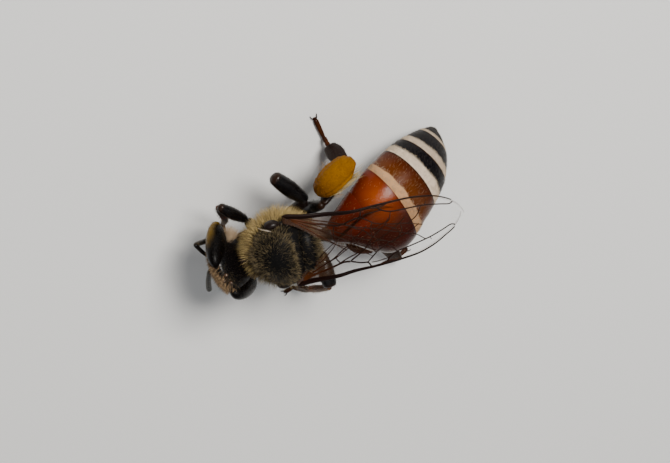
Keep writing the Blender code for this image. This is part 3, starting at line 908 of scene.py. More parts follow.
# ---- head ----
@dataclass
class Eye:
    """One compound eye: a tall bulging oval that leans in towards the crown."""

    side: Side
    head: Placement
    size: Point = (0.80, 0.66, 1.90)
    middle: Point = (0.965, -0.03, 0.16)
    lean: float = math.radians(-20.0)
    bare_margin: float = 1.06
    hair: Coat = Coat(260, (0.05, 0.09), 0.003, 0.9, 0.35, spread=0.2, tone=(0.0, 0.8))

    def placement(self) -> Placement:
        """Where the eye stands in the head."""
        x, y, z = self.middle
        return self.head.inside((self.side.value * x, y, z), rotation(y=self.side.value * self.lean))

    def covers(self, points: Array) -> Array:
        """Which points lie inside the eye, swollen by the bare margin round it."""
        local = self.placement().local(points)
        return ((2.0 * local / (np.asarray(self.size) * self.bare_margin)) ** 2).sum(-1) < 1.0

    def build(self, paints: Paints) -> None:
        """Make the eye, a stretched sphere with its poles at the top and bottom, and its short hairs."""
        place = self.placement()
        surface = place.surface(ovoid(self.size, 48, 56, axis=2))
        local = place.local(surface.points) / self.size * 2.0
        front = smoothstep(-0.95, 0.40, -local[..., 1]) * smoothstep(0.80, -0.40, local[..., 2])
        outer = smoothstep(0.55, 1.0, -local[..., 2])
        eye = surface.build(f"compound_eye_{self.side.word}", paints.eye,
                            {"rim": np.clip(0.95 * front + 0.5 * outer, 0.0, 1.0)})
        settle(eye, Slot.EYE, f"eye_{self.side.word}")
        roots = surface.scatter(self.hair.count, 31 + self.side.value)
        settle(self.hair.grow(f"eye_hair_{self.side.word}", roots, -roots.along, paints.dark_hair, 5),
               Slot.BLACK)


@dataclass
class Feeler:
    """One feeler: a slim shaft, a small joint at the elbow and a whip of ten short joints."""

    side: Side
    root: Point
    elbow: Point
    tip: Point
    shaft_half_width: float = 0.070
    whip_half_width: float = 0.090
    whip_joints: int = 10
    bow: float = 0.04
    shaft_swell: Line = ((0, 1.25), (0.08, 0.8), (0.2, 0.85), (0.8, 1.1), (1, 0.9))
    whip_swell: Line = ((0, 0.66), (0.09, 0.95), (0.3, 0.95), (0.9, 1.05), (0.97, 0.9), (1, 0.35))
    fuzz: Coat = Coat(700, (0.02, 0.035), 0.0022, 0.6, 0.6, tone=(0.2, 0.7))

    def build(self, paints: Paints) -> None:
        """Make the shaft and the whip, whose fuzz has its count of hairs for each millimetre."""
        root, elbow, tip = (np.array(p) for p in (self.root, self.elbow, self.tip))
        name = self.side.word
        middle = 0.5 * (root + elbow) + [0.0, -0.05, 0.02]
        path = spline([root, middle, elbow], 28)
        half = halves(profile(self.shaft_swell, even(28))) * self.shaft_half_width
        shaft = tube(TRUNK.points(path), half, UP)
        settle(shaft.build(f"feeler_shaft_{name}", paints.black, {"tone": 0.15}), Slot.BLACK,
               f"antenna_{name}_scape")
        share = even(16 * (self.whip_joints + 1))
        sag = np.array([0.0, -1.0, 0.3]) * self.bow
        path = elbow + (tip - elbow) * share[:, None] + sag * np.sin(math.pi * share)[:, None]
        seam = np.abs(np.cos(math.pi * share * (self.whip_joints + 1)))
        half = halves((1.0 - 0.20 * seam ** 14) * profile(self.whip_swell, share)) * self.whip_half_width
        whip = tube(TRUNK.points(path), half, np.array([1.0, 0.2, 0.0]), columns=20)
        tone = (0.1 + 0.5 * seam ** 8)[:, None]
        settle(whip.build(f"feeler_whip_{name}", paints.black, {"tone": tone}), Slot.BLACK,
               f"antenna_{name}_flagellum")
        roots = whip.scatter(int(self.fuzz.count * np.linalg.norm(tip - elbow)), 71 + self.side.value)
        settle(self.fuzz.grow(f"feeler_fuzz_{name}", roots, roots.along, paints.tan_hair, 6), Slot.BLACK)


@dataclass
class Head:
    """The head capsule with its eyes, face, jaws, folded tongue and hair."""

    size: Point = (2.28, 1.08, 2.20)
    middle: Point = (0.21, -2.03, -0.16)
    turn: Point = (math.radians(19.0), 0.0, math.radians(18.0))
    bead_size: Point = (0.16, 0.16, 0.13)
    bead_middles: tuple[Point, ...] = ((0.0, -0.03, 1.100), (-0.17, 0.14, 1.060), (0.17, 0.14, 1.060))
    jaw_half_width: float = 0.17
    jaw_half_depth: float = 0.09
    face_hair: Coat = Coat(4600, (0.09, 0.18), 0.0078, 0.45, 0.85, spread=0.30, tone=(0.0, 0.9))
    crown_hair: Coat = Coat(420, (0.12, 0.24), 0.0045, 0.9, 0.35, spread=0.3, tone=(0.3, 1.3))
    cheek_hair: Coat = Coat(420, (0.08, 0.15), 0.007, 0.5, 0.7, spread=0.30, tone=(0.0, 1.0))
    cheek_fringe: Coat = Coat(620, (0.22, 0.40), 0.006, 0.9, 0.4, spread=0.35, tone=(0.5, 2.0), rings=3)
    nape_hair: Coat = Coat(420, (0.08, 0.15), 0.004, 0.5, 0.7, spread=0.3, tone=(0.2, 1.0))

    def placement(self) -> Placement:
        """Where the head stands on the trunk."""
        return TRUNK.inside(self.middle, rotation(*self.turn))

    def shape(self, sphere: Array) -> Array:
        """A rounded triangle from the front, flat behind, with a lip shield, sockets and a crown.

        The sphere narrows below by 0.34 times the depth to the 1.6, and its back is pressed to
        0.72. The lip shield, the sockets of the feelers, the middle line and the crown are bells
        added to the front or the top.
        """
        x, y, z = sphere[..., 0], sphere[..., 1], sphere[..., 2]
        low = np.maximum(0.0, -z)
        x = x * (1.0 - 0.34 * low ** 1.6)
        y = np.where(y > 0.0, 0.72 * y, y)
        facing = smoothstep(0.0, 0.5, -sphere[..., 1])
        lip = smoothstep(0.52, 0.34, np.abs(x)) * smoothstep(-0.98, -0.80, z) * smoothstep(-0.22, -0.34, z)
        sockets = hump(0.17, 0.085, np.abs(x)) * hump(-0.13, 0.09, z)
        rims = hump(0.17, 0.16, np.abs(x)) * hump(-0.13, 0.17, z) - 1.6 * sockets
        line = hump(0.0, 0.03, x) * smoothstep(-0.1, 0.05, z) * smoothstep(0.85, 0.6, z)
        y = y - facing * (0.085 * lip + 0.05 * rims - 0.035 * line)
        crown = hump(0.0, 0.32, x) * smoothstep(0.55, 1.0, z) * hump(0.05, 0.5, y)
        return np.stack([x, y, z + 0.035 * crown], -1)

    def build(self, paints: Paints) -> None:
        """Make the head and everything on it."""
        place = self.placement()
        local = ovoid(self.size, 120, 160, axis=1, shape=self.shape)
        skin = place.surface(local)
        face_tone = 0.25 * smoothstep(-0.35, -0.75, local[..., 2]) * smoothstep(-0.1, -0.5, local[..., 1])
        settle(skin.build("head_capsule", paints.black, {"tone": face_tone}), Slot.BLACK, "head")
        eyes = [Eye(side, place) for side in Side]
        for eye in eyes:
            eye.build(paints)
        self.small_eyes(place, paints)
        self.jaws(place, paints)
        self.tongue(place, paints)
        self.hair(skin, local, eyes, paints)

    def small_eyes(self, place: Placement, paints: Paints) -> None:
        """Three clear beads in a triangle on the crown."""
        bead = ovoid(self.bead_size, 16, 20, axis=2)
        beads = [place.surface(bead + middle) for middle in self.bead_middles]
        settle(join_surfaces("small_eyes", beads, paints.bead), Slot.EYE)

    def jaws(self, place: Placement, paints: Paints) -> None:
        """Spoon-shaped jaws that cross a little under the lip, and the lip itself."""
        for side in Side:
            k = side.value
            knots = [(0.46 * k, -0.16, -0.94), (0.48 * k, -0.34, -1.12), (0.35 * k, -0.46, -1.30),
                     (0.07 * k, -0.48, -1.40)]
            path, share = spline(knots, 30), even(30)
            wide = profile(((0, 0.8), (0.2, 1.0), (0.5, 0.72), (0.85, 0.80), (1, 0.4)), share)
            half = np.stack([wide * self.jaw_half_width, wide * self.jaw_half_depth], -1)
            jaw = tube(place.points(path), half, place.directions(np.array([0.2 * k, 0.0, 1.0])))
            tone = smoothstep(0.3, 1.0, share)[:, None] * 0.8
            settle(jaw.build(f"jaw_{side.word}", paints.brown, {"tone": tone}), Slot.BROWN,
                   f"mandible_{side.word}")
        lip = ovoid((0.60, 0.12, 0.36), 24, 32, axis=2) + [0.0, -0.41, -1.06]
        settle(place.surface(lip).build("upper_lip", paints.brown, {"tone": 0.4}), Slot.BROWN)

    def tongue(self, place: Placement, paints: Paints) -> None:
        """The folded tongue: two long sheaths laid back under the head, and the hairy tip."""
        sheaths = []
        for k in (-1.0, 1.0):
            path = spline([(0.10 * k, -0.20, -1.24), (0.11 * k, 0.02, -1.46), (0.09 * k, 0.26, -1.60),
                           (0.05 * k, 0.62, -1.72)], 36)
            wide = profile(((0, 0.10), (0.4, 0.115), (0.8, 0.07), (1, 0.02)), even(36))
            sheaths.append(tube(place.points(path), halves(wide, 0.6), UP))
        rod = spline([(0.0, -0.10, -1.36), (0.0, 0.20, -1.62), (0.0, 0.66, -1.80)], 30)
        sheaths.append(tube(place.points(rod), np.full((30, 2), 0.045), UP))
        tones = [{"tone": tone} for tone in (0.35, 0.35, 0.9)]
        settle(join_surfaces("folded_tongue", sheaths, paints.brown, tones), Slot.BROWN, "proboscis")

    def hair(self, skin: Surface, seen: Array, eyes: list[Eye], paints: Paints) -> None:
        """Pale hair on the face and behind the eyes, dark hair on the crown.

        Args:
            skin: The head's surface.
            seen: Its points in the head's own frame.
            eyes: Both compound eyes, which stay bare of the head's hair.
            paints: The finishes.
        """
        x, y, z = np.abs(seen[..., 0]), seen[..., 1], seen[..., 2]
        bare = np.zeros(x.shape, bool)
        for eye in eyes:
            bare |= eye.covers(skin.points)
        shown = np.where(bare, 0.0, 1.0)
        face = smoothstep(0.22, -0.12, y) * shown * (1.0 - 0.6 * hump(-0.70, 0.30, z) * hump(0.0, 0.35, x))
        crown = smoothstep(0.70, 0.95, z) * smoothstep(0.75, 0.45, x) * shown
        wide = x + 0.45 * np.maximum(-z, 0.0)
        cheek = smoothstep(0.0, 0.12, y) * smoothstep(0.70, 0.88, wide) * smoothstep(0.15, -0.25, z) * shown
        nape = smoothstep(0.0, 0.12, y) * shown * (1.0 - cheek) + 0.001
        parts = (("face_hair", self.face_hair, face, paints.gold_hair, -0.3),
                 ("crown_hair", self.crown_hair, crown, paints.tan_hair, -0.3),
                 ("cheek_hair", self.cheek_hair, cheek, paints.white_hair, 0.3),
                 ("cheek_fringe", self.cheek_fringe, cheek, paints.white_hair, 0.3),
                 ("nape_hair", self.nape_hair, nape, paints.dark_hair, 0.3))
        place = self.placement()
        for number, (name, coat, density, paint, back) in enumerate(parts):
            roots = skin.scatter(coat.count, 11 + number, density)
            away = place.local(roots.points) * [0.6, 0.0, 1.0] + [0.0, back, 0.0]
            settle(coat.grow(name, roots, place.directions(away), paint, 21 + number), Slot.BLACK)


# ---- thorax ----
@dataclass
class Thorax:
    """The middle body: collar, dome, shield plate, flanks, wing-root covers, a painted highlight streak on
    the collar and long hair.
    """

    size: Point = (2.32, 2.42, 2.06)
    middle: Point = (0.02, -0.18, 0.0)
    shield_size: Point = (1.54, 0.84, 0.76)
    shield_middle: Point = (0.02, 0.66, 0.53)
    cover_size: Point = (0.34, 0.54, 0.40)
    cover_middle: Point = (1.16, -0.38, 0.42)
    neck_half_width: float = 0.32
    hinge_plates: tuple[tuple[float, ...], ...] = (
        (0.0, 0.34, 0.02, 0.20), (-0.10, 0.52, 0.04, 0.17), (0.05, 0.46, -0.08, 0.15))
    # Line of the painted highlight streak along the collar's side.
    ridge_line: tuple[Point, ...] = (
        (-0.97, -0.89, 0.01), (-0.99, -0.74, 0.32), (-0.99, -0.58, 0.47), (-0.96, -0.42, 0.58))
    dome_hair: Coat = Coat(1300, (0.07, 0.15), 0.0066, 0.34, 0.92, spread=0.20, tone=(0.0, 1.5))
    under_hair: Coat = Coat(3000, (0.05, 0.10), 0.0032, 0.40, 0.85, spread=0.24, tone=(0.3, 1.3))
    edge_hair: Coat = Coat(900, (0.10, 0.20), 0.0080, 0.50, 0.80, spread=0.22, tone=(0.0, 1.0))
    collar_hair: Coat = Coat(1100, (0.26, 0.46), 0.0070, 0.80, 0.50, spread=0.32, tone=(0.0, 1.3), rings=3)
    flank_hair: Coat = Coat(5400, (0.22, 0.42), 0.0070, 0.62, 0.62, spread=0.32, tone=(0.0, 1.15), rings=3)
    shield_hair: Coat = Coat(1200, (0.10, 0.22), 0.005, 0.6, 0.7, spread=0.3, tone=(0.1, 1.1))

    def shape(self, sphere: Array) -> Array:
        """A full dome that narrows and drops behind the wings, with the seams between its plates.

        The rear half narrows by 0.30 and drops by 0.22 of its depth squared. Seams are bells cut
        round the collar, along the dome's flanks and before the shield plate.
        """
        x, y, z = sphere[..., 0], sphere[..., 1], sphere[..., 2]
        rear = np.maximum(0.0, y)
        narrow = 1.0 - 0.30 * rear ** 2
        drop = np.where(z > 0.0, 1.0 - 0.22 * rear ** 2, 1.0)
        square = 1.0 + 0.36 * (1.0 - y * y) * (x * z) ** 2
        top = smoothstep(0.05, 0.35, z)
        collar = hump(-0.84 + 0.30 * z ** 2, 0.035, y) * smoothstep(-0.4, 0.1, z)
        flank = hump(0.26 + 0.20 * y, 0.035, z) * smoothstep(-0.9, -0.6, y) * smoothstep(0.7, 0.4, y)
        rearline = hump(0.30 - 0.10 * x ** 2, 0.030, y) * top
        furrows = hump(0.30 + 0.1 * y, 0.018, np.abs(x)) * top * smoothstep(-0.7, -0.5, y)
        furrows = furrows * smoothstep(0.25, 0.1, y)
        side_seam = hump(0.05 - 0.3 * z, 0.03, y) * smoothstep(0.1, -0.2, z)
        cut = 1.0 - 0.045 * (collar + flank + rearline + side_seam) - 0.010 * furrows
        return np.stack([x * narrow * square, y, z * drop * square], -1) * cut[..., None]

    def build(self, paints: Paints) -> None:
        """Make the middle body and its hair."""
        local = ovoid(self.size, 150, 180, axis=1, shape=self.shape) + self.middle
        skin = TRUNK.surface(local)
        settle(skin.build("thorax_shell", paints.thorax, {"tone": 0.1}), Slot.BLACK, "thorax")
        self.shield(paints)
        self.covers(paints)
        self.neck(paints)
        self.hair(skin, paints)

    def shield(self, paints: Paints) -> None:
        """The bulging shield plate behind the dome, with its hair."""
        plate = TRUNK.surface(ovoid(self.shield_size, 60, 90, axis=0) + self.shield_middle)
        settle(plate.build("shield_plate", paints.thorax, {"tone": 0.2}), Slot.BLACK, "scutellum")
        here = TRUNK.local(plate.points) - self.shield_middle
        density = 0.12 + smoothstep(0.12, 0.36, here[..., 1]) * smoothstep(-0.25, 0.0, here[..., 2])
        roots = plate.scatter(self.shield_hair.count, 41, density)
        way = TRUNK.directions(np.array([0.0, 1.0, 0.25])) + roots.normals * 0.2
        settle(self.shield_hair.grow("shield_hair", roots, way, paints.tan_hair, 42), Slot.BLACK)

    def covers(self, paints: Paints) -> None:
        """The small shell over each wing root, the little plates of the hinge behind it, and a thin pale
        rod on the collar's side that is a painted highlight streak.
        """
        for side in Side:
            x, y, z = self.cover_middle
            cover = ovoid(self.cover_size, 30, 40, axis=1) + [side.value * x, y, z]
            plates = [TRUNK.surface(cover)]
            for dx, dy, dz, size in self.hinge_plates:
                bead = ovoid((size, size * 1.4, size * 0.8), 16, 20, axis=1)
                shift = np.array([side.value * (x + dx - 0.03), y + dy, z + dz])
                plates.append(TRUNK.surface(bead + shift))
            # Painted highlight: a thin pale rod along the collar's side, where a glint falls.
            ridge = spline(np.array(self.ridge_line) * [-1.04 * side.value, 1.02, 1.05], 24)
            fine = profile(((0, 0.006), (0.4, 0.022), (0.8, 0.026), (1, 0.008)), even(24))
            rod = tube(TRUNK.points(ridge), halves(fine), UP, columns=12)
            settle(rod.build(f"collar_ridge_{side.word}", paints.ridge, {"tone": 0.1}), Slot.BROWN)
            tones = [{"tone": tone} for tone in (0.25, 0.7, 0.9, 0.5)]
            piece = join_surfaces(f"wing_root_cover_{side.word}", plates, paints.amber, tones)
            settle(piece, Slot.BROWN, f"tegula_{side.word}")

    def neck(self, paints: Paints) -> None:
        """The short soft neck."""
        path = spline([(0.10, -1.72, -0.08), (0.06, -1.45, -0.08), (0.0, -1.15, -0.06)], 16)
        skin = tube(TRUNK.points(path), np.full((16, 2), self.neck_half_width), UP, columns=32)
        settle(skin.build("neck_skin", paints.black, {"tone": 0.5}), Slot.BLACK, "neck")

    def hair(self, skin: Surface, paints: Paints) -> None:
        """Short olive hair on the dome, longer at its rims, and long cream hair on the flanks."""
        local = TRUNK.local(skin.points) - self.middle
        x, y, z = (local / self.size * 2.0).transpose(2, 0, 1)
        bald = 1.0 - 0.95 * np.exp(-((x / 0.40) ** 2 + ((y + 0.30) / 0.34) ** 2))
        above = smoothstep(0.22, 0.45, z)
        waist = smoothstep(0.95, 0.6, y)
        behind = smoothstep(0.28, 0.42, y) * smoothstep(0.75, 0.5, np.abs(x)) * above
        dome = above * bald * smoothstep(0.34, 0.24, y)
        rim = hump(0.92, 0.16, np.hypot(x / 0.95, (y + 0.30) / 0.62)) * above * (1 - behind)
        flank = smoothstep(0.42, 0.15, z) * waist * (0.35 + 0.65 * smoothstep(-0.95, -0.5, z))
        ruff = smoothstep(-0.70, -0.84, y) * smoothstep(0.35, 0.0, z + 0.5 * x) * smoothstep(-0.8, -0.4, z)
        parts = (("dome_hair", self.dome_hair, dome, paints.tan_hair),
                 ("dome_under_hair", self.under_hair, dome + 0.15 * above, paints.tan_hair),
                 ("dome_rim_hair", self.edge_hair, rim, paints.tan_hair),
                 ("flank_hair", self.flank_hair, flank, paints.cream_hair),
                 ("collar_hair", self.collar_hair, ruff, paints.cream_hair))
        for number, (name, coat, density, paint) in enumerate(parts):
            roots = skin.scatter(coat.count, 51 + number, density)
            here = TRUNK.local(roots.points) - self.middle
            ahead = -0.5 if name == "collar_hair" else 0.35
            swirl = TRUNK.directions(here * [0.55, 0.9, 0.0] + [0.0, ahead, -0.1])
            # Painted light and shade: the flank hair is paler on the bee's right, towards the key light,
            # and darker on its left.
            shift = 0.15 - 0.40 * smoothstep(0.2, -0.6, here[:, 0]) if name == "flank_hair" else 0.0
            settle(coat.grow(name, roots, swirl, paint, 61 + number, tone_shift=shift), Slot.BLACK)


# ---- abdomen ----
@dataclass
class Abdomen:
    """Six plates over and five under, telescoped along a spine that bends down and to the right."""

    waist: Point = (0.03, 1.34, -0.36)
    length: float = 5.76
    pitch: tuple[float, float] = (math.radians(-7.7), math.radians(-46.9))
    yaw: tuple[float, float] = (math.radians(1.4), math.radians(-48.8))
    width: float = 2.80
    height: float = 2.15
    plate_edges: tuple[float, ...] = (0.10, 1.42, 2.60, 3.65, 4.45, 5.24, 5.76)
    slant_most: float = 0.18
    left_bulge: float = 0.50
    lap: float = 0.16
    inset: float = 0.022
    wrap: float = math.radians(34.0)
    profile_rows: int = 56
    inner_rows: int = 11
    felt_width: tuple[float, ...] = (0.0, 0.0, 0.28, 0.31, 0.21, 0.06)
    rim_strength: tuple[float, ...] = (0.0, 0.35, 0.9, 0.9, 0.9, 0.0)
    hair_share: tuple[float, ...] = (0.25, 0.12, 0.30, 1.0, 1.0, 1.0)
    worn_shift: float = 0.75
    felt_hair: Coat = Coat(3800, (0.05, 0.09), 0.0055, 0.22, 0.95, spread=0.16, tone=(0.0, 0.35))
    short_hair: Coat = Coat(1100, (0.05, 0.11), 0.003, 0.30, 0.95, spread=0.16, tone=(0.1, 1.0))

    def spine(self, distance: Array) -> tuple[Array, Array]:
        """Points and directions along the bent spine.

        Pitch and yaw change evenly along it, and the place is the running sum of the direction.

        Args:
            distance: Distances from the waist in millimetres, in rising order or not.
        Returns:
            Points and unit directions, in the trunk's frame.
        """
        fine = np.linspace(0.0, self.length, 400)
        share = fine / self.length
        pitch = self.pitch[0] + (self.pitch[1] - self.pitch[0]) * share
        yaw = self.yaw[0] + (self.yaw[1] - self.yaw[0]) * share
        way = np.stack([np.sin(yaw) * np.cos(pitch), np.cos(yaw) * np.cos(pitch), np.sin(pitch)], -1)
        step = 0.5 * (way[1:] + way[:-1]) * (fine[1] - fine[0])
        place = self.waist + np.vstack([np.zeros(3), np.cumsum(step, 0)])
        at = [np.interp(distance, fine, place[:, k]) for k in range(3)]
        direction = [np.interp(distance, fine, way[:, k]) for k in range(3)]
        return np.stack(at, -1), unit(np.stack(direction, -1))

    def girth(self, share: Array) -> Array:
        """Half width as a share of the greatest: a sine rise to 0.51, times a power fall to the tip."""
        front = np.sin(0.5 * math.pi * np.clip((share + 0.02) / 0.53, 0.0, 1.0)) ** 0.63
        rear = 1.0 - np.maximum(0.0, (share - 0.28) / 0.74) ** 3.76
        return front * np.maximum(0.03, rear)

    def slant(self, distance: Array) -> Array:
        """How much earlier an oval's left side lies; it grows behind plate 2 and ends at the tip."""
        growth = np.clip((distance - 2.3) / 1.35, 0.0, 1.0)
        return self.slant_most * growth * np.clip((self.length - distance) / 0.5, 0.0, 1.0)

    def sleeve(self, distance: Array, angle: Array, proud: Array) -> Array:
        """Points of slanted ovals across the spine.

        Args:
            distance: Place along the spine of each row.
            angle: Angle round of each column; 0 is the bee's left and a quarter turn is up.
            proud: How far each point stands out from the plain oval.
        Returns:
            The grid, in the world frame.
        """
        place = distance[:, None] - self.slant(distance)[:, None] * np.cos(angle)[None]
        middle, along = self.spine(place)
        across = unit(np.cross(along, UP))
        upward = np.cross(across, along)
        girth = self.girth(place / self.length)
        lift = np.sin(angle)[None]
        squash = np.where(lift < 0.0, 0.90, 1.0)
        fuller = self.left_bulge * (hump(2.00, 0.85, place) - 0.5 * hump(0.7, 0.5, place))
        fuller = fuller * np.clip(np.cos(angle), 0.0, 1.0)[None]
        wide = (0.5 * self.width * girth + proud + fuller) * np.cos(angle)[None]
        tall = (0.5 * self.height * girth + proud) * lift * squash
        grid = middle + across * wide[..., None] + upward * tall[..., None]
        return TRUNK.points(grid)

    def plate(self, number: int, upper: bool, columns: int) -> tuple[Array, Marks]:
        """One plate, upper or lower, as a thin closed shell.

        Its profile runs back along the outer skin, from under the plate before to a proud rear
        edge, and forward again along the inner skin; the profile is carried round the body to
        somewhat under each side, and lower plates close the belly.

        Args:
            number: Which plate, from 1.
            upper: Whether it is an upper plate.
            columns: How many profiles.
        Returns:
            The grid, with one profile per row, and the numbers that the finish reads.
        """
        start, end = self.plate_edges[number - 1:number + 1]
        front = start - (self.lap if number > 1 else 0.0)
        back = np.linspace(0.98, 0.0, self.inner_rows - 1)
        run = np.concatenate([even(self.profile_rows), [1.0], back])
        inner = np.repeat([0.0, 1.0], [self.profile_rows, self.inner_rows])
        distance = front + (end - front) * run
        angle = np.linspace(-self.wrap, math.pi + self.wrap, columns)
        if not upper:
            angle = np.linspace(math.pi + 0.6 * self.wrap, 2.0 * math.pi - 0.6 * self.wrap, columns)
        place = even(columns)
        edge = smoothstep(0.0, 0.05, place) * smoothstep(1.0, 0.95, place)
        proud = -self.inset - 0.055 * (1.0 - smoothstep(0.0, 0.30, run))
        if number < 6:
            proud = proud + 0.028 * smoothstep(0.3, 1.0, run)
        if not upper:
            proud = proud - 0.07
        proud = proud[:, None] - 0.03 * inner[:, None] - 0.05 * (1.0 - edge)[None]
        points = self.sleeve(distance, angle, proud)
        marks = self.marks(number, upper, run[:, None], (distance - start)[:, None], angle[None], points)
        return points.transpose(1, 0, 2), marks

    def marks(self, number: int, upper: bool, run: Array, span: Array, angle: Array,
              points: Array) -> Marks:
        """The numbers that a plate's finish reads.

        Args:
            number: Which plate, from 1.
            upper: Whether it is an upper plate.
            run: Share along the plate, one per row.
            span: Distance behind the plate before, one per row.
            angle: Angle round, one per column.
            points: The plate's grid.
        Returns:
            For each name a grid with one profile per row.
        """
        waver = 0.03 * ripple(points, 9, 0.9, 5)
        width = self.felt_width[number - 1] * (1.0 + 0.10 * np.sin(angle))
        soft = 0.10 if number == 3 else 0.05
        felt = smoothstep(soft, -soft, span - width + waver) * smoothstep(-0.05, 0.02, span)
        felt = felt * float(width.max() > 0.0) * (1.0 if upper else 0.35)
        rim = smoothstep(0.93, 0.98, run) * self.rim_strength[number - 1]
        rust = float(number <= 3)
        # Painted shade: the bee's left side, away from the key light and under the wings, darkens. The
        # other terms darken plate 2's front, plate 3's rear, plate 1 and the lower plates.
        left_shade = smoothstep(-0.30, 0.40, np.cos(angle))
        deep = 0.12 + 0.75 * left_shade + 0.15 * smoothstep(0.55, 0.1, run)
        if number == 1:
            deep = 0.40 - 0.25 * smoothstep(0.3, 1.0, run) + 0.6 * left_shade
        if number == 3:
            deep = 0.35 + 0.50 * smoothstep(0.45, 0.95, run) + 0.3 * left_shade
        if not upper:
            rust, deep = min(rust, 0.6), deep + 0.3
        bronze = (0.95 - 0.55 * smoothstep(0.5, 0.9, run)) * float(number == 3)
        # Painted highlight: a pool of bright orange on plate 2's upper right side, facing the key light.
        glow = hump(0.62, 0.36, run) * hump(2.15, 0.60, angle) * 0.62 * float(number == 2 and upper)
        marks = {"rust": rust, "deep": deep, "bronze": bronze, "glow": glow, "felt": felt, "rim": rim}
        return {key: np.broadcast_to(grid, felt.shape).T for key, grid in marks.items()}

    def build(self, paints: Paints) -> None:
        """Make the plates, the belly, the stalk and the hair."""
        for number in range(1, 7):
            slot = Slot.RUST if number <= 3 else Slot.BLACK
            upper, marks = self.plate(number, True, 150)
            piece = Surface(upper).build(f"upper_plate_{number}", paints.plates, marks)
            settle(piece, slot, f"abdomen_t{number}")
            lower, lower_marks = self.plate(number, False, 80)
            settle(Surface(lower).build(f"lower_plate_{number}", paints.plates, lower_marks), slot)
            self.hair(number, upper, marks, paints)
        self.core(paints)
        self.stalk(paints)

    def core(self, paints: Paints) -> None:
        """The dark soft skin inside the plates, which closes every gap."""
        distance = np.linspace(0.12, self.length, 90)
        points = self.sleeve(distance, ring_angles(96), np.full((90, 1), -0.15))
        settle(Surface(points).build("soft_belly_skin", paints.black, {"tone": 0.4}), Slot.BLACK)

    def stalk(self, paints: Paints) -> None:
        """The narrow stalk between the middle body and the abdomen."""
        middle, along = self.spine(np.array(self.plate_edges[:1]))
        path = middle + along * np.linspace(-0.72, 0.10, 18)[:, None]
        half = profile(((0, 0.26), (0.5, 0.20), (1, 0.30)), even(18))
        piece = tube(TRUNK.points(path), halves(half), UP, columns=28)
        settle(piece.build("waist_stalk", paints.black, {"tone": 0.3}), Slot.BLACK, "petiole")

    def hair(self, number: int, plate: Array, marks: Marks, paints: Paints) -> None:
        """Flat white felt on the bands, worn thin on plate 3, and short scattered hair between them.

        Args:
            number: Which plate, from 1.
            plate: The plate's grid, with one profile per row.
            marks: The plate's numbers, of which the felt sets where the white hair grows.
            paints: The finishes.
        """
        rows, worn, fiery = self.profile_rows, number == 3, number <= 3
        outer = Surface(plate[:, :rows], wraps=False)
        felt = marks["felt"][:, :rows]
        start, end = self.plate_edges[number - 1:number + 1]
        lap_share = self.lap / (end - start + self.lap) if number > 1 else 0.0
        shown = smoothstep(lap_share - 0.02, lap_share + 0.03, even(rows)[None])
        if self.felt_width[number - 1] > 0.0:
            roots = outer.scatter(self.felt_hair.count // (3 if worn else 1), 81 + number, felt * shown)
            settle(self.felt_hair.grow(f"white_felt_{number}", roots, roots.across, paints.white_hair, 83,
                                       self.worn_shift if worn else 0.0), Slot.BLACK)
        # Painted highlight: plate 3's gold hair gathers in a band across its upper side, where light
        # catches it.
        highlight_crest = 1.0 + 3.0 * hump(0.55, 0.15, even(len(plate)))[:, None] * float(worn)
        roots = outer.scatter(int(self.short_hair.count * self.hair_share[number - 1]), 91 + number,
                              (1.0 - felt) * shown * highlight_crest + 0.001)
        paint = paints.gold_hair if fiery else paints.dark_hair
        settle(self.short_hair.grow(f"plate_hair_{number}", roots, roots.across, paint, 93),
               Slot.RUST if fiery else Slot.BLACK)


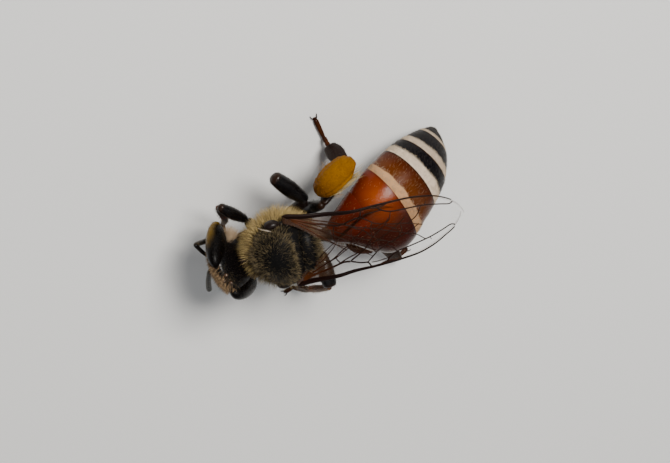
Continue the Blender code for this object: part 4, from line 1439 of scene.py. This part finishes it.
# ---- wings ----
@dataclass
class WingPair:
    """A forewing with its hindwing hooked under its rear edge, folded back over the body.

    Places on the wing are (span, chord) in millimetres: span runs from root to tip and chord
    points outwards to the front edge.
    """

    side: Side
    root: tuple[float, float]
    tip: tuple[float, float]
    heights: Line
    lift: float
    fore_front: Line = (
        (0.0, 0.13), (0.8, 0.06), (1.5, 0.03), (2.4, 0.05), (3.3, 0.14), (4.0, 0.20), (4.5, 0.21),
        (5.1, 0.12), (5.6, -0.05), (5.95, -0.26), (6.16, -0.50), (6.23, -0.66))
    fore_rear: Line = (
        (0.0, -0.14), (0.5, -0.38), (1.0, -0.74), (1.6, -1.16), (2.3, -1.62), (3.0, -1.93),
        (3.7, -2.06), (4.5, -1.96), (5.2, -1.66), (5.8, -1.20), (6.14, -0.84), (6.23, -0.68))
    hind_front: Line = (
        (0.30, -0.02), (1.2, -0.26), (2.2, -0.52), (3.2, -0.80), (4.0, -1.06), (4.40, -1.28))
    hind_rear: Line = (
        (0.30, -0.14), (0.8, -0.84), (1.4, -1.36), (2.1, -1.80), (2.9, -2.10), (3.7, -1.98), (4.15, -1.74))
    hooked: Line = (
        (0.30, -0.04), (0.8, -0.42), (1.4, -0.88), (2.1, -1.32), (2.9, -1.72), (3.7, -1.82), (4.15, -1.72))
    drop_of_hindwing: float = 0.13
    skin_half: float = 0.006
    columns: int = 48

    def lay(self, flat: Array, under: float) -> Array:
        """World places of (span, chord) places on the wing.

        Height eases between the given heights along the span; a low arch across the chord and
        soft pleats that grow from the root are added.

        Args:
            flat: Places with span and chord on the last axis.
            under: How far below the forewing.
        Returns:
            World points.
        """
        root, tip = np.asarray(self.root), np.asarray(self.tip)
        length = np.linalg.norm(tip - root)
        span = (tip - root) / length
        across = np.array([span[1], -span[0]]) * self.side.value
        s, c = flat[..., 0], flat[..., 1]
        level = np.zeros_like(s) + self.heights[0][1]
        for (a, low), (b, high) in zip(self.heights, self.heights[1:]):
            level = level + (high - low) * smoothstep(a, b, s / length)
        arch = 0.10 * np.sin(math.pi * np.clip(-c / 2.1, 0.0, 1.0)) * smoothstep(0.0, 2.0, s)
        pleats = 0.022 * np.sin(7.5 * c + 1.1 * s) + 0.014 * np.sin(13.0 * c - 1.7 * s + 0.8)
        pleats = pleats * smoothstep(0.0, 1.0, s) + 0.02 * np.sin(1.9 * s + 0.6 * c)
        ground = root + span * s[..., None] + across * c[..., None]
        height = level + arch + pleats + self.lift - under
        return TRUNK.points(np.concatenate([ground, height[..., None]], -1))

    def membrane(self, front: Array, rear: Array, under: float) -> Surface:
        """Closed thin skin between a front and a rear edge.

        Args:
            front: Front edge places, one per row.
            rear: Rear edge places, one per row.
            under: How far below the forewing.
        Returns:
            The surface; its profiles run over the top from front to rear and back beneath.
        """
        w = even(self.columns)[None, :, None]
        sheet = front[:, None] * (1.0 - w) + rear[:, None] * w
        middle = self.lay(sheet, under)
        over = Surface(middle, wraps=False).normals()
        over = over * np.sign(over[..., 2:3])
        thin = self.skin_half * (0.25 + 0.75 * np.sin(math.pi * w) ** 0.3)
        loop = np.concatenate([middle + over * thin, (middle - over * thin)[:, ::-1]], 1)
        return Surface(loop)

    def build(self, paints: Paints) -> None:
        """Make both wings of this side."""
        name = self.side.word
        picked = (even(110) ** 0.85 * 399).astype(int)
        front, rear = spline(self.fore_front, 400)[picked], spline(self.fore_rear, 400)[picked]
        skin = self.membrane(front, rear, 0.0)
        flat = front[:, None] + (rear - front)[:, None] * even(self.columns)[None, :, None]
        near_front = smoothstep(0.12, 0.0, np.abs(flat[..., 1] - front[:, None, 1]))
        tone = 0.9 * smoothstep(2.0, 0.2, flat[..., 0]) + 0.35 * near_front + 0.05
        tones = {"tone": np.hstack([tone, tone[:, ::-1]])}
        settle(skin.build(f"forewing_skin_{name}", paints.membrane, tones), Slot.WING, f"forewing_{name}")
        skin = self.membrane(spline(self.hooked, 90), spline(self.hind_rear, 90), self.drop_of_hindwing)
        settle(skin.build(f"hindwing_skin_{name}", paints.membrane, {"tone": 0.04}), Slot.WING,
               f"hindwing_{name}")
        self.veins(paints)

    def veins(self, paints: Paints) -> None:
        """Veins of both wings as round rods along smooth lines, thick in front and at the root."""
        fore = (
            ((*self.fore_front[:9], (5.84, -0.17)), 0.080, 0.020, 0.0),
            (((0.10, 0.03), (0.99, -0.03), (2.0, -0.02), (2.9, 0.07), (3.25, 0.10)), 0.040, 0.030, 0.0),
            (((0.20, 0.02), (0.99, -0.26), (1.73, -0.44), (2.07, -0.39)), 0.048, 0.034, 0.25),
            (((2.07, -0.39), (2.39, -0.24), (2.62, -0.18), (2.67, -0.06), (2.69, 0.04)), 0.030, 0.028, 0.2),
            (((2.07, -0.39), (2.47, -0.59), (2.72, -0.72), (3.05, -1.02), (3.65, -1.32)),
             0.028, 0.018, 0.35),
            (((1.73, -0.46), (1.67, -0.69), (1.70, -0.80)), 0.024, 0.022, 0.3),
            (((0.25, -0.02), (0.96, -0.41), (1.72, -0.81), (2.23, -1.06), (3.05, -1.52)),
             0.036, 0.018, 0.35),
            (((0.27, -0.06), (0.88, -0.52), (1.6, -1.05), (2.05, -1.40)), 0.026, 0.014, 0.5),
            (((3.22, 0.10), (3.42, -0.07), (3.75, -0.17), (4.3, -0.17), (4.9, -0.18), (5.4, -0.25),
              (5.74, -0.31), (5.88, -0.24)), 0.030, 0.022, 0.2),
            (((4.9, -0.18), (4.95, -0.06)), 0.018, 0.012, 0.3),
            (((2.62, -0.18), (3.01, -0.43), (3.11, -0.49), (3.6, -0.62), (4.2, -0.70), (4.75, -0.86)),
             0.024, 0.016, 0.3),
            (((2.74, -0.14), (2.96, -0.09), (3.29, -0.07), (3.42, -0.07)), 0.018, 0.018, 0.3),
            (((3.45, -0.58), (3.62, -0.42), (3.70, -0.18)), 0.020, 0.018, 0.3),
            (((4.25, -0.71), (4.55, -0.50), (4.75, -0.20)), 0.020, 0.018, 0.35),
            (((3.02, -0.45), (2.95, -0.70), (2.98, -0.97)), 0.020, 0.018, 0.35),
            (((4.0, -0.68), (3.98, -0.98), (3.65, -1.32)), 0.020, 0.016, 0.4),
            (((3.65, -1.32), (3.85, -1.52)), 0.015, 0.010, 0.5),
            (((2.95, 0.10), (3.15, 0.06), (3.40, 0.07), (3.60, 0.14)), 0.036, 0.030, 0.45),
        )
        hind = (
            (self.hind_front, 0.030, 0.014, 0.3),
            (((0.35, -0.06), (1.3, -0.52), (2.3, -0.92), (2.9, -1.14), (3.9, -1.42)), 0.026, 0.012, 0.4),
            (((2.3, -0.92), (2.45, -1.22), (2.5, -1.45), (2.9, -1.80)), 0.018, 0.010, 0.5),
            (((0.36, -0.10), (1.0, -0.70), (1.7, -1.20), (2.5, -1.46)), 0.020, 0.012, 0.5),
        )
        plans = [(*plan, 0.0) for plan in fore] + [(*plan, self.drop_of_hindwing) for plan in hind]
        rods, tones = zip(*(self.rod(*plan) for plan in plans))
        settle(join_surfaces(f"wing_veins_{self.side.word}", rods, paints.vein, tones), Slot.WING)

    def rod(self, knots: Line, thick: float, thin: float, tone: float,
            under: float) -> tuple[Surface, Marks]:
        """One vein.

        Args:
            knots: Its line on the wing.
            thick: Half width at its first end.
            thin: Half width at its last end.
            tone: Colour number, 0 dark to 1 amber.
            under: How far below the forewing.
        Returns:
            Its surface and its colour number per ring, paler near the wing's root.
        """
        count = 14 * len(knots)
        path = self.lay(spline(knots, count), under)
        half = thin + (thick - thin) * np.linspace(1.0, 0.0, count) ** 1.6
        half = half * np.sin(0.5 * math.pi * np.clip(np.linspace(0.06, count * 0.25, count), 0, 1))
        near_root = smoothstep(1.6, 0.3, np.linspace(knots[0][0], knots[-1][0], count))
        paler = tone * 0.6 + (0.5 if tone > 0.0 else 0.1) * near_root
        surface = tube(path, halves(half, 0.75), np.array([1.0, 0.0, 0.02]), columns=10)
        return surface, {"tone": np.clip(paler, 0.0, 1.0)[:, None]}


# ---- legs ----
@dataclass(frozen=True)
class LegForm:
    """Half widths and half thicknesses of a pair of legs, at their joints, in millimetres."""

    coxa: float
    femur: Point
    tibia: Line
    heel: Line
    foot: float = 0.080


class Pair(Enum):
    """The three pairs of legs, with their forms."""

    FORE = LegForm(0.23, (0.13, 0.21, 0.15), ((0.09, 0.08), (0.12, 0.10), (0.13, 0.10)),
                   ((0.09, 0.07), (0.11, 0.07), (0.08, 0.06)))
    MID = LegForm(0.24, (0.18, 0.29, 0.24), ((0.09, 0.08), (0.13, 0.11), (0.15, 0.11)),
                  ((0.10, 0.08), (0.17, 0.07), (0.12, 0.06)))
    HIND = LegForm(0.26, (0.12, 0.22, 0.15), ((0.12, 0.10), (0.32, 0.11), (0.44, 0.11)),
                   ((0.26, 0.09), (0.32, 0.10), (0.22, 0.08)), 0.086)


@dataclass
class Leg:
    """One leg from hip to claws.

    The seven places are the hip, the ends of the hip ring, thigh, shin and heel, and the middle
    and end of the foot.
    """

    pair: Pair
    side: Side
    places: tuple[Point, ...]
    shin_drop: Point = (0.0, 0.0, 0.0)
    face: Point = (0.0, 0.0, 1.0)
    sole_press: float = 0.62
    toe_height: float = 0.075
    bristles: tuple[Coat, ...] = (
        Coat(320, (0.07, 0.15), 0.0035, 0.50, 0.85, tone=(0.0, 0.9)),
        Coat(460, (0.08, 0.16), 0.0035, 0.50, 0.85, tone=(0.0, 0.9)),
        Coat(520, (0.05, 0.11), 0.0038, 0.45, 0.9, tone=(0.2, 1.0)))
    fringe: Coat = Coat(240, (0.22, 0.38), 0.0065, 1.0, 0.35, spread=0.12, droop=0.35, tone=(0.0, 0.5),
                        rings=4)

    def build(self, paints: Paints) -> None:
        """Make the leg's joints, claws and hair."""
        form = self.pair.value
        name = f"{self.pair.name.lower()}_{self.side.word}"
        hip, thigh, knee, ankle, heel, middle, toe = (np.array(p) for p in self.places)
        middle, toe = middle * [1, 1, self.sole_press], np.array([toe[0], toe[1], self.toe_height])
        face = np.array(self.face)
        ring = self.limb([hip, 0.5 * (hip + thigh), thigh], face, ((form.coxa, form.coxa * 0.95),
                         (form.coxa * 0.9, form.coxa * 0.85), (form.femur[0] * 1.1, form.femur[0] * 1.1)))
        settle(ring.build(f"hip_{name}", paints.black, {"tone": 0.3}), Slot.BLACK, f"leg_{name}_coxa")
        a, b, c = form.femur
        bowed = 0.5 * (thigh + knee) + UP * 0.04
        femur = self.limb([thigh, bowed, knee], face, ((a, a), (b, b * 0.88), (c, c * 0.9)), 48)
        share = even(48)[:, None]
        joint = 0.5 * smoothstep(0.12, 0.0, share)
        tone = np.clip(1.1 * smoothstep(0.86, 1.0, share) + joint, 0, 1)
        settle(femur.build(f"thigh_{name}", paints.black, {"tone": tone}), Slot.BLACK, f"leg_{name}_femur")
        drop = np.array(self.shin_drop)
        start = knee + drop * 0.35
        bend = 0.55 * start + 0.45 * ankle + drop * 0.25
        shin = self.limb([start, bend, ankle], face, form.tibia, 48, 2.6)
        tone = np.clip(0.35 + 0.8 * smoothstep(0.55, 1.0, share) + joint, 0, 1)
        shin_paint = paints.black if self.pair is Pair.HIND else paints.brown
        settle(shin.build(f"shin_{name}", shin_paint, {"tone": tone}), Slot.BLACK, f"leg_{name}_tibia")
        tucked = ankle + unit(bend - ankle) * 0.06
        shoe = self.limb([tucked, 0.5 * (ankle + heel), heel], face, form.heel, 32, 3.0)
        heel_tone = -0.15 if self.pair is Pair.HIND else 0.20
        settle(shoe.build(f"heel_{name}", paints.brown, {"tone": heel_tone}), Slot.BROWN,
               f"leg_{name}_basitarsus")
        self.foot(name, heel, middle, toe, paints)
        self.hair(name, (femur, shin, shoe), paints)

    def limb(self, knots: Sequence[Array], face: Array, sizes: Line, count: int = 32,
             power: float = 2.2) -> Surface:
        """One joint of the leg: a rounded profile carried along a bent line.

        Args:
            knots: The line's places.
            face: Direction that the limb's broad face looks in.
            sizes: Half width and half thickness at even shares of the line.
            count: Rings along it.
            power: Squareness of the profile.
        Returns:
            The closed surface.
        """
        path = spline(knots, count)
        share, at = even(count), even(len(sizes))
        half = np.stack([profile(np.stack([at, column], -1), share) for column in zip(*sizes)], -1)
        round_end = np.sqrt(np.clip(1.0 - (np.abs(share - 0.5) * 2.0) ** 14, 0.0, 1.0)) * 0.92 + 0.08
        hint = np.cross(path[-1] - path[0], face)
        return tube(WORLD.points(path), half * round_end[:, None], hint, columns=28, power=power)

    def foot(self, name: str, heel: Array, middle: Array, toe: Array, paints: Paints) -> None:
        """Four small joints, a pad and two hooked claws that stand on the floor.

        Args:
            name: Which leg.
            heel: End of the heel joint.
            middle: Middle of the foot.
            toe: End of the foot.
            paints: The finishes.
        """
        size = self.pair.value.foot
        path = spline([heel + UP * 0.05, 0.5 * (heel + middle) + UP * 0.02, middle, toe], 96)
        beat = np.interp(even(96), (0.0, 0.22, 0.42, 0.60, 1.0), (0.0, 1.0, 2.0, 3.0, 4.0))
        part = beat - np.floor(np.minimum(beat, 3.999))
        swell = (0.62 + 0.46 * np.sin(0.5 * math.pi * part) ** 0.8) * (1.0 - 0.25 * (part > 0.97))
        toes = tube(WORLD.points(path), halves(swell, 0.8) * size, np.cross(toe - heel, UP), columns=16)
        ahead = unit(toe - middle)
        across = unit(np.cross(ahead, UP))
        flat = unit(ahead * [1, 1, 0])
        pad = toe + flat * 0.04 - UP * 0.012 + ovoid((0.10, 0.13, 0.07), 14, 18, axis=2)
        parts = [toes, WORLD.surface(pad)]
        tones = [{"tone": 0.28}, {"tone": 0.2}]
        for k in (-1.0, 1.0):
            hook = spline([toe + across * 0.03 * k, toe + across * 0.085 * k + flat * 0.07 + UP * 0.02,
                           toe + across * 0.12 * k + flat * 0.15 - UP * 0.03,
                           toe + across * 0.115 * k + flat * 0.17 - UP * 0.072], 20)
            parts.append(tube(WORLD.points(hook), halves(np.linspace(0.026, 0.004, 20)), UP, columns=10))
            tones.append({"tone": 0.0})
        settle(join_surfaces(f"foot_{name}", parts, paints.brown, tones), Slot.BROWN, f"leg_{name}_tarsus")

    def hair(self, name: str, parts: Sequence[Surface], paints: Paints) -> None:
        """Bristles along the leg; hind shins carry a long golden fringe round the load."""
        for number, (surface, coat) in enumerate(zip(parts, self.bristles)):
            golden = number >= (1 if self.pair is Pair.MID else 2) and self.pair is not Pair.HIND
            paint = paints.gold_hair if golden else paints.dark_hair
            roots = surface.scatter(coat.count, 101 + number)
            piece = coat.grow(f"bristles_{name}_{number}", roots, roots.along, paint, 102 + number)
            settle(piece, Slot.BLACK if number == 0 else Slot.BROWN)
        if self.pair is Pair.HIND:
            rows, columns = parts[1].points.shape[:2]
            run = even(rows)[:, None]
            edge = np.abs(np.cos(ring_angles(columns))) ** 10 * smoothstep(0.1, 0.35, run)
            roots = parts[1].scatter(self.fringe.count, 111, edge * smoothstep(0.92, 0.80, run))
            way = roots.along * 0.6 + unit(np.array(self.face))
            settle(self.fringe.grow(f"basket_fringe_{self.side.word}", roots, way, paints.gold_hair, 112),
                   Slot.BROWN)


@dataclass
class PollenLoad:
    """Packed pollen on a hind shin: a lumpy oval with loose grains stuck to it."""

    side: Side
    middle: Point
    turn: Point
    paint: Material
    size: Point = (0.90, 1.88, 1.00)
    power: float = 2.25
    grains: int = 420
    grain_width: float = 0.032
    bristles: Coat = Coat(260, (0.34, 0.62), 0.009, 0.14, 1.0, spread=0.09, droop=0.05, tone=(0.0, 0.8),
                          rings=3)

    def build(self, paints: Paints) -> None:
        """Make the load, its grains and the basket's bristles that hold it.

        A point of the oval in direction d is scaled by the sum of |d| to the power, to the minus
        one over it, which squares the oval a little. Ripples lift it, and a bell cuts the crease.
        """
        place = WORLD.inside(self.middle, rotation(*self.turn))
        local = ovoid(self.size, 110, 130, axis=1)
        out = unit(local / self.size)
        local = local * (np.abs(out) ** self.power).sum(-1, keepdims=True) ** (-1.0 / self.power)
        lumps = 0.030 * ripple(local, 14, 0.42, 3) + 0.014 * ripple(local, 14, 0.16, 4)
        inward = -self.side.value * out[..., 0]
        crease = hump(0.42 + 0.15 * out[..., 1], 0.10, inward) * smoothstep(0.0, 0.4, out[..., 2])
        local = local + out * (lumps - 0.055 * crease)[..., None]
        load = place.surface(local)
        marks = {"lobe": smoothstep(0.40, 0.60, inward), "damp": smoothstep(-0.2, -0.95, out[..., 1])}
        settle(load.build(f"pollen_load_{self.side.word}", self.paint, marks), Slot.POLLEN,
               f"pollen_{self.side.word}")
        self.loose_grains(load)
        held = smoothstep(0.45, 0.80, inward) * smoothstep(0.7, 0.2, out[..., 1])
        held = held * smoothstep(-0.6, -0.1, out[..., 2])
        roots = load.scatter(self.bristles.count, 131 + self.side.value, held + 0.001)
        way = place.directions(np.array([-0.10 * self.side.value, 1.0, 0.05])) + roots.normals * 0.02
        settle(self.bristles.grow(f"basket_bristles_{self.side.word}", roots, way, paints.cream_hair, 133),
               Slot.BROWN)

    def loose_grains(self, load: Surface) -> None:
        """Small round grains stuck to the load, as one piece."""
        roots = load.scatter(self.grains, 121 + self.side.value)
        grain = ovoid((self.grain_width,) * 3, 5, 7, axis=2)
        size = np.random.default_rng(122).uniform(0.7, 1.25, (self.grains, 1, 1, 1))
        places = roots.points[:, None, None] + grain[None] * size
        index = np.arange(grain[..., 0].size).reshape(grain.shape[:2])
        caps = np.stack([index[0], index[-1][::-1]])[:, ::-1]
        faces = repeated((ring_quads(index), caps), self.grains, index.size)
        settle(build_object(f"pollen_grains_{self.side.word}", places.reshape(-1, 3), faces, self.paint),
               Slot.POLLEN)


# ---- studio ----
@dataclass
class Studio:
    """Pale floor, soft lights, pale surroundings and the camera."""

    floor_half_mm: float = 600.0
    target_mm: Point = (-0.511, 0.166, 3.516)
    right: Point = (0.19285, 0.96402, 0.18298)
    above: Point = (-0.86989, 0.25425, -0.42268)
    towards: Point = (-0.45399, -0.07766, 0.88762)
    distance_mm: float = 120.0
    frame_width_mm: float = 23.10
    key_power: float = 0.15
    fill_power: float = 0.014
    world_strength: float = 0.17
    aim_m: Point = (0.0, 0.0, 0.003)
    sensor_mm: float = 36.0

    def build(self) -> None:
        """Make the whole stage."""
        self.floor()
        key = self.light("key_light", (-54.0, 30.0, 88.0), 34.0, self.key_power, (1.0, 0.97, 0.92))
        fill = self.light("fill_light", (10.0, -30.0, 105.0), 90.0, self.fill_power, (0.94, 0.97, 1.0))
        rim = self.light("side_light", (40.0, 60.0, 60.0), 60.0, self.fill_power * 0.4, (1.0, 1.0, 1.0))
        self.surroundings()
        self.camera()

    def floor(self) -> None:
        """A broad flat floor at height zero."""
        corners = self.floor_half_mm * np.array([[-1, -1, 0], [1, -1, 0], [1, 1, 0], [-1, 1, 0]])
        floor = build_object("pale_floor", corners, [np.array([[0, 1, 2, 3]])], PaleFloor().material())

    def light(self, name: str, place: Point, size: float, power: float, colour: Colour) -> Object:
        """A square soft light that looks at the bee.

        Args:
            name: Its name.
            place: Where it stands, in millimetres.
            size: Edge in millimetres.
            power: Watts.
            colour: Its colour.
        Returns:
            The light.
        """
        lamp = bpy.data.lights.new(name, "AREA")
        lamp.shape, lamp.size, lamp.energy, lamp.color = "SQUARE", size * MM, power, colour
        made = bpy.data.objects.new(name, lamp)
        made.location = Vector(place) * MM
        ahead = Vector(self.aim_m) - made.location
        made.rotation_euler = ahead.to_track_quat("-Z", "Y").to_euler()
        bpy.context.scene.collection.objects.link(made)
        return made

    def surroundings(self) -> None:
        """An even pale sky."""
        world = bpy.data.worlds.new("pale_surroundings")
        world.use_nodes = True
        ground = world.node_tree.nodes["Background"]
        ground.inputs["Color"].default_value = (0.93, 0.95, 0.98, 1.0)
        ground.inputs["Strength"].default_value = self.world_strength
        bpy.context.scene.world = world

    def camera(self) -> Object:
        """The camera, level with the body's own line."""
        lens = bpy.data.cameras.new("camera")
        lens.sensor_width = self.sensor_mm
        lens.lens = self.sensor_mm * self.distance_mm / self.frame_width_mm
        lens.clip_start, lens.clip_end = 0.001, 10.0
        made = bpy.data.objects.new("camera", lens)
        made.location = (Vector(self.target_mm) + Vector(self.towards) * self.distance_mm) * MM
        turn = Matrix((self.right, self.above, self.towards)).transposed()
        made.rotation_euler = turn.to_euler()
        bpy.context.scene.collection.objects.link(made)
        bpy.context.scene.camera = made
        return made


# ---- the whole bee ----
def clear_scene() -> None:
    """Empty the scene of whatever it opened with."""
    for thing in list(bpy.data.objects):
        bpy.data.objects.remove(thing, do_unlink=True)


def bee_legs() -> list[Leg]:
    """The six legs as they stand."""
    right, left = Side.RIGHT, Side.LEFT
    return [
        Leg(Pair.FORE, right, ((-0.38, -0.82, 2.30), (-0.92, -1.12, 2.22), (-1.95, -1.98, 2.76),
                               (-0.93, -1.80, 1.68), (-0.33, -1.80, 0.82), (-0.02, -1.84, 0.36),
                               (0.30, -1.86, 0.19)), (0.16, -0.06, -0.36)),
        Leg(Pair.FORE, left, ((0.38, -0.82, 2.30), (0.80, -1.04, 1.92), (1.48, -1.54, 1.98),
                              (1.40, -1.90, 1.12), (1.36, -2.06, 0.56), (1.38, -2.20, 0.28),
                              (1.40, -2.42, 0.19))),
        Leg(Pair.MID, right, ((-0.56, 0.10, 2.20), (-1.20, 1.03, 2.48), (-2.64, 0.05, 2.97),
                              (-1.20, 0.76, 1.70), (-0.72, 0.97, 0.76), (-0.56, 1.02, 0.34),
                              (-0.34, 1.06, 0.19)), (0.14, 0.0, -0.46)),
        Leg(Pair.MID, left, ((0.66, 0.02, 2.20), (1.04, 1.14, 2.16), (2.24, 1.18, 2.70),
                             (2.88, 0.56, 1.22), (3.11, 0.20, 0.48), (3.20, 0.06, 0.26),
                             (3.32, -0.18, 0.19))),
        Leg(Pair.HIND, right, ((-0.28, 0.86, 2.24), (-0.46, 0.90, 1.52), (-1.08, 1.53, 2.94),
                               (-1.92, 2.64, 1.69), (-2.04, 2.38, 0.50), (-2.30, 2.30, 0.26),
                               (-2.96, 2.16, 0.19)), face=(-0.8, -0.2, 0.6)),
        Leg(Pair.HIND, left, ((0.28, 0.92, 2.24), (0.38, 0.78, 1.52), (0.84, 1.66, 1.80),
                              (1.94, 3.46, 0.96), (2.98, 3.92, 0.52), (3.02, 4.10, 0.28),
                              (2.94, 4.32, 0.19)), face=(0.7, -0.3, 0.65)),
    ]


def main() -> None:
    """Build the bee on its floor, with its lights and camera."""
    logging.basicConfig(level=logging.INFO, format="%(message)s")
    clear_scene()
    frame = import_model()
    LOG.info("%d solids are in place", len(frame["nodes"]))
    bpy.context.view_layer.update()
    paints = Paints()
    Head().build(paints)
    Feeler(Side.RIGHT, (0.194, -2.531, -0.481), (-0.75, -3.11, -0.18), (-0.24, -2.47, -1.40)).build(paints)
    Feeler(Side.LEFT, (0.517, -2.426, -0.481), (0.20, -2.81, 0.12), (1.49, -3.03, -0.96)).build(paints)
    Thorax().build(paints)
    Abdomen().build(paints)
    WingPair(Side.RIGHT, (-1.36, 0.02), (-0.92, 6.14),
             ((0.0, 0.40), (0.20, 0.46), (0.42, 0.72), (1.0, 0.50)), 0.20).build(paints)
    WingPair(Side.LEFT, (1.24, 0.02), (0.24, 6.16),
             ((0.0, 0.44), (0.29, 1.08), (0.46, 1.22), (1.0, 1.00)), -0.03).build(paints)
    for leg in bee_legs():
        leg.build(paints)
    PollenLoad(Side.RIGHT, (-1.92, 2.16, 2.73), (math.radians(-33.3), 0.0, math.radians(17.3)),
               paints.pollen).build(paints)
    # The left load wears the darker pollen copy: painted shade.
    PollenLoad(Side.LEFT, (1.58, 2.76, 1.24), (math.radians(-26.0), 0.0, math.radians(-30.0)),
               paints.shaded_pollen, (0.80, 1.40, 0.84)).build(paints)
    Studio().build()


if __name__ == "__main__":
    main()
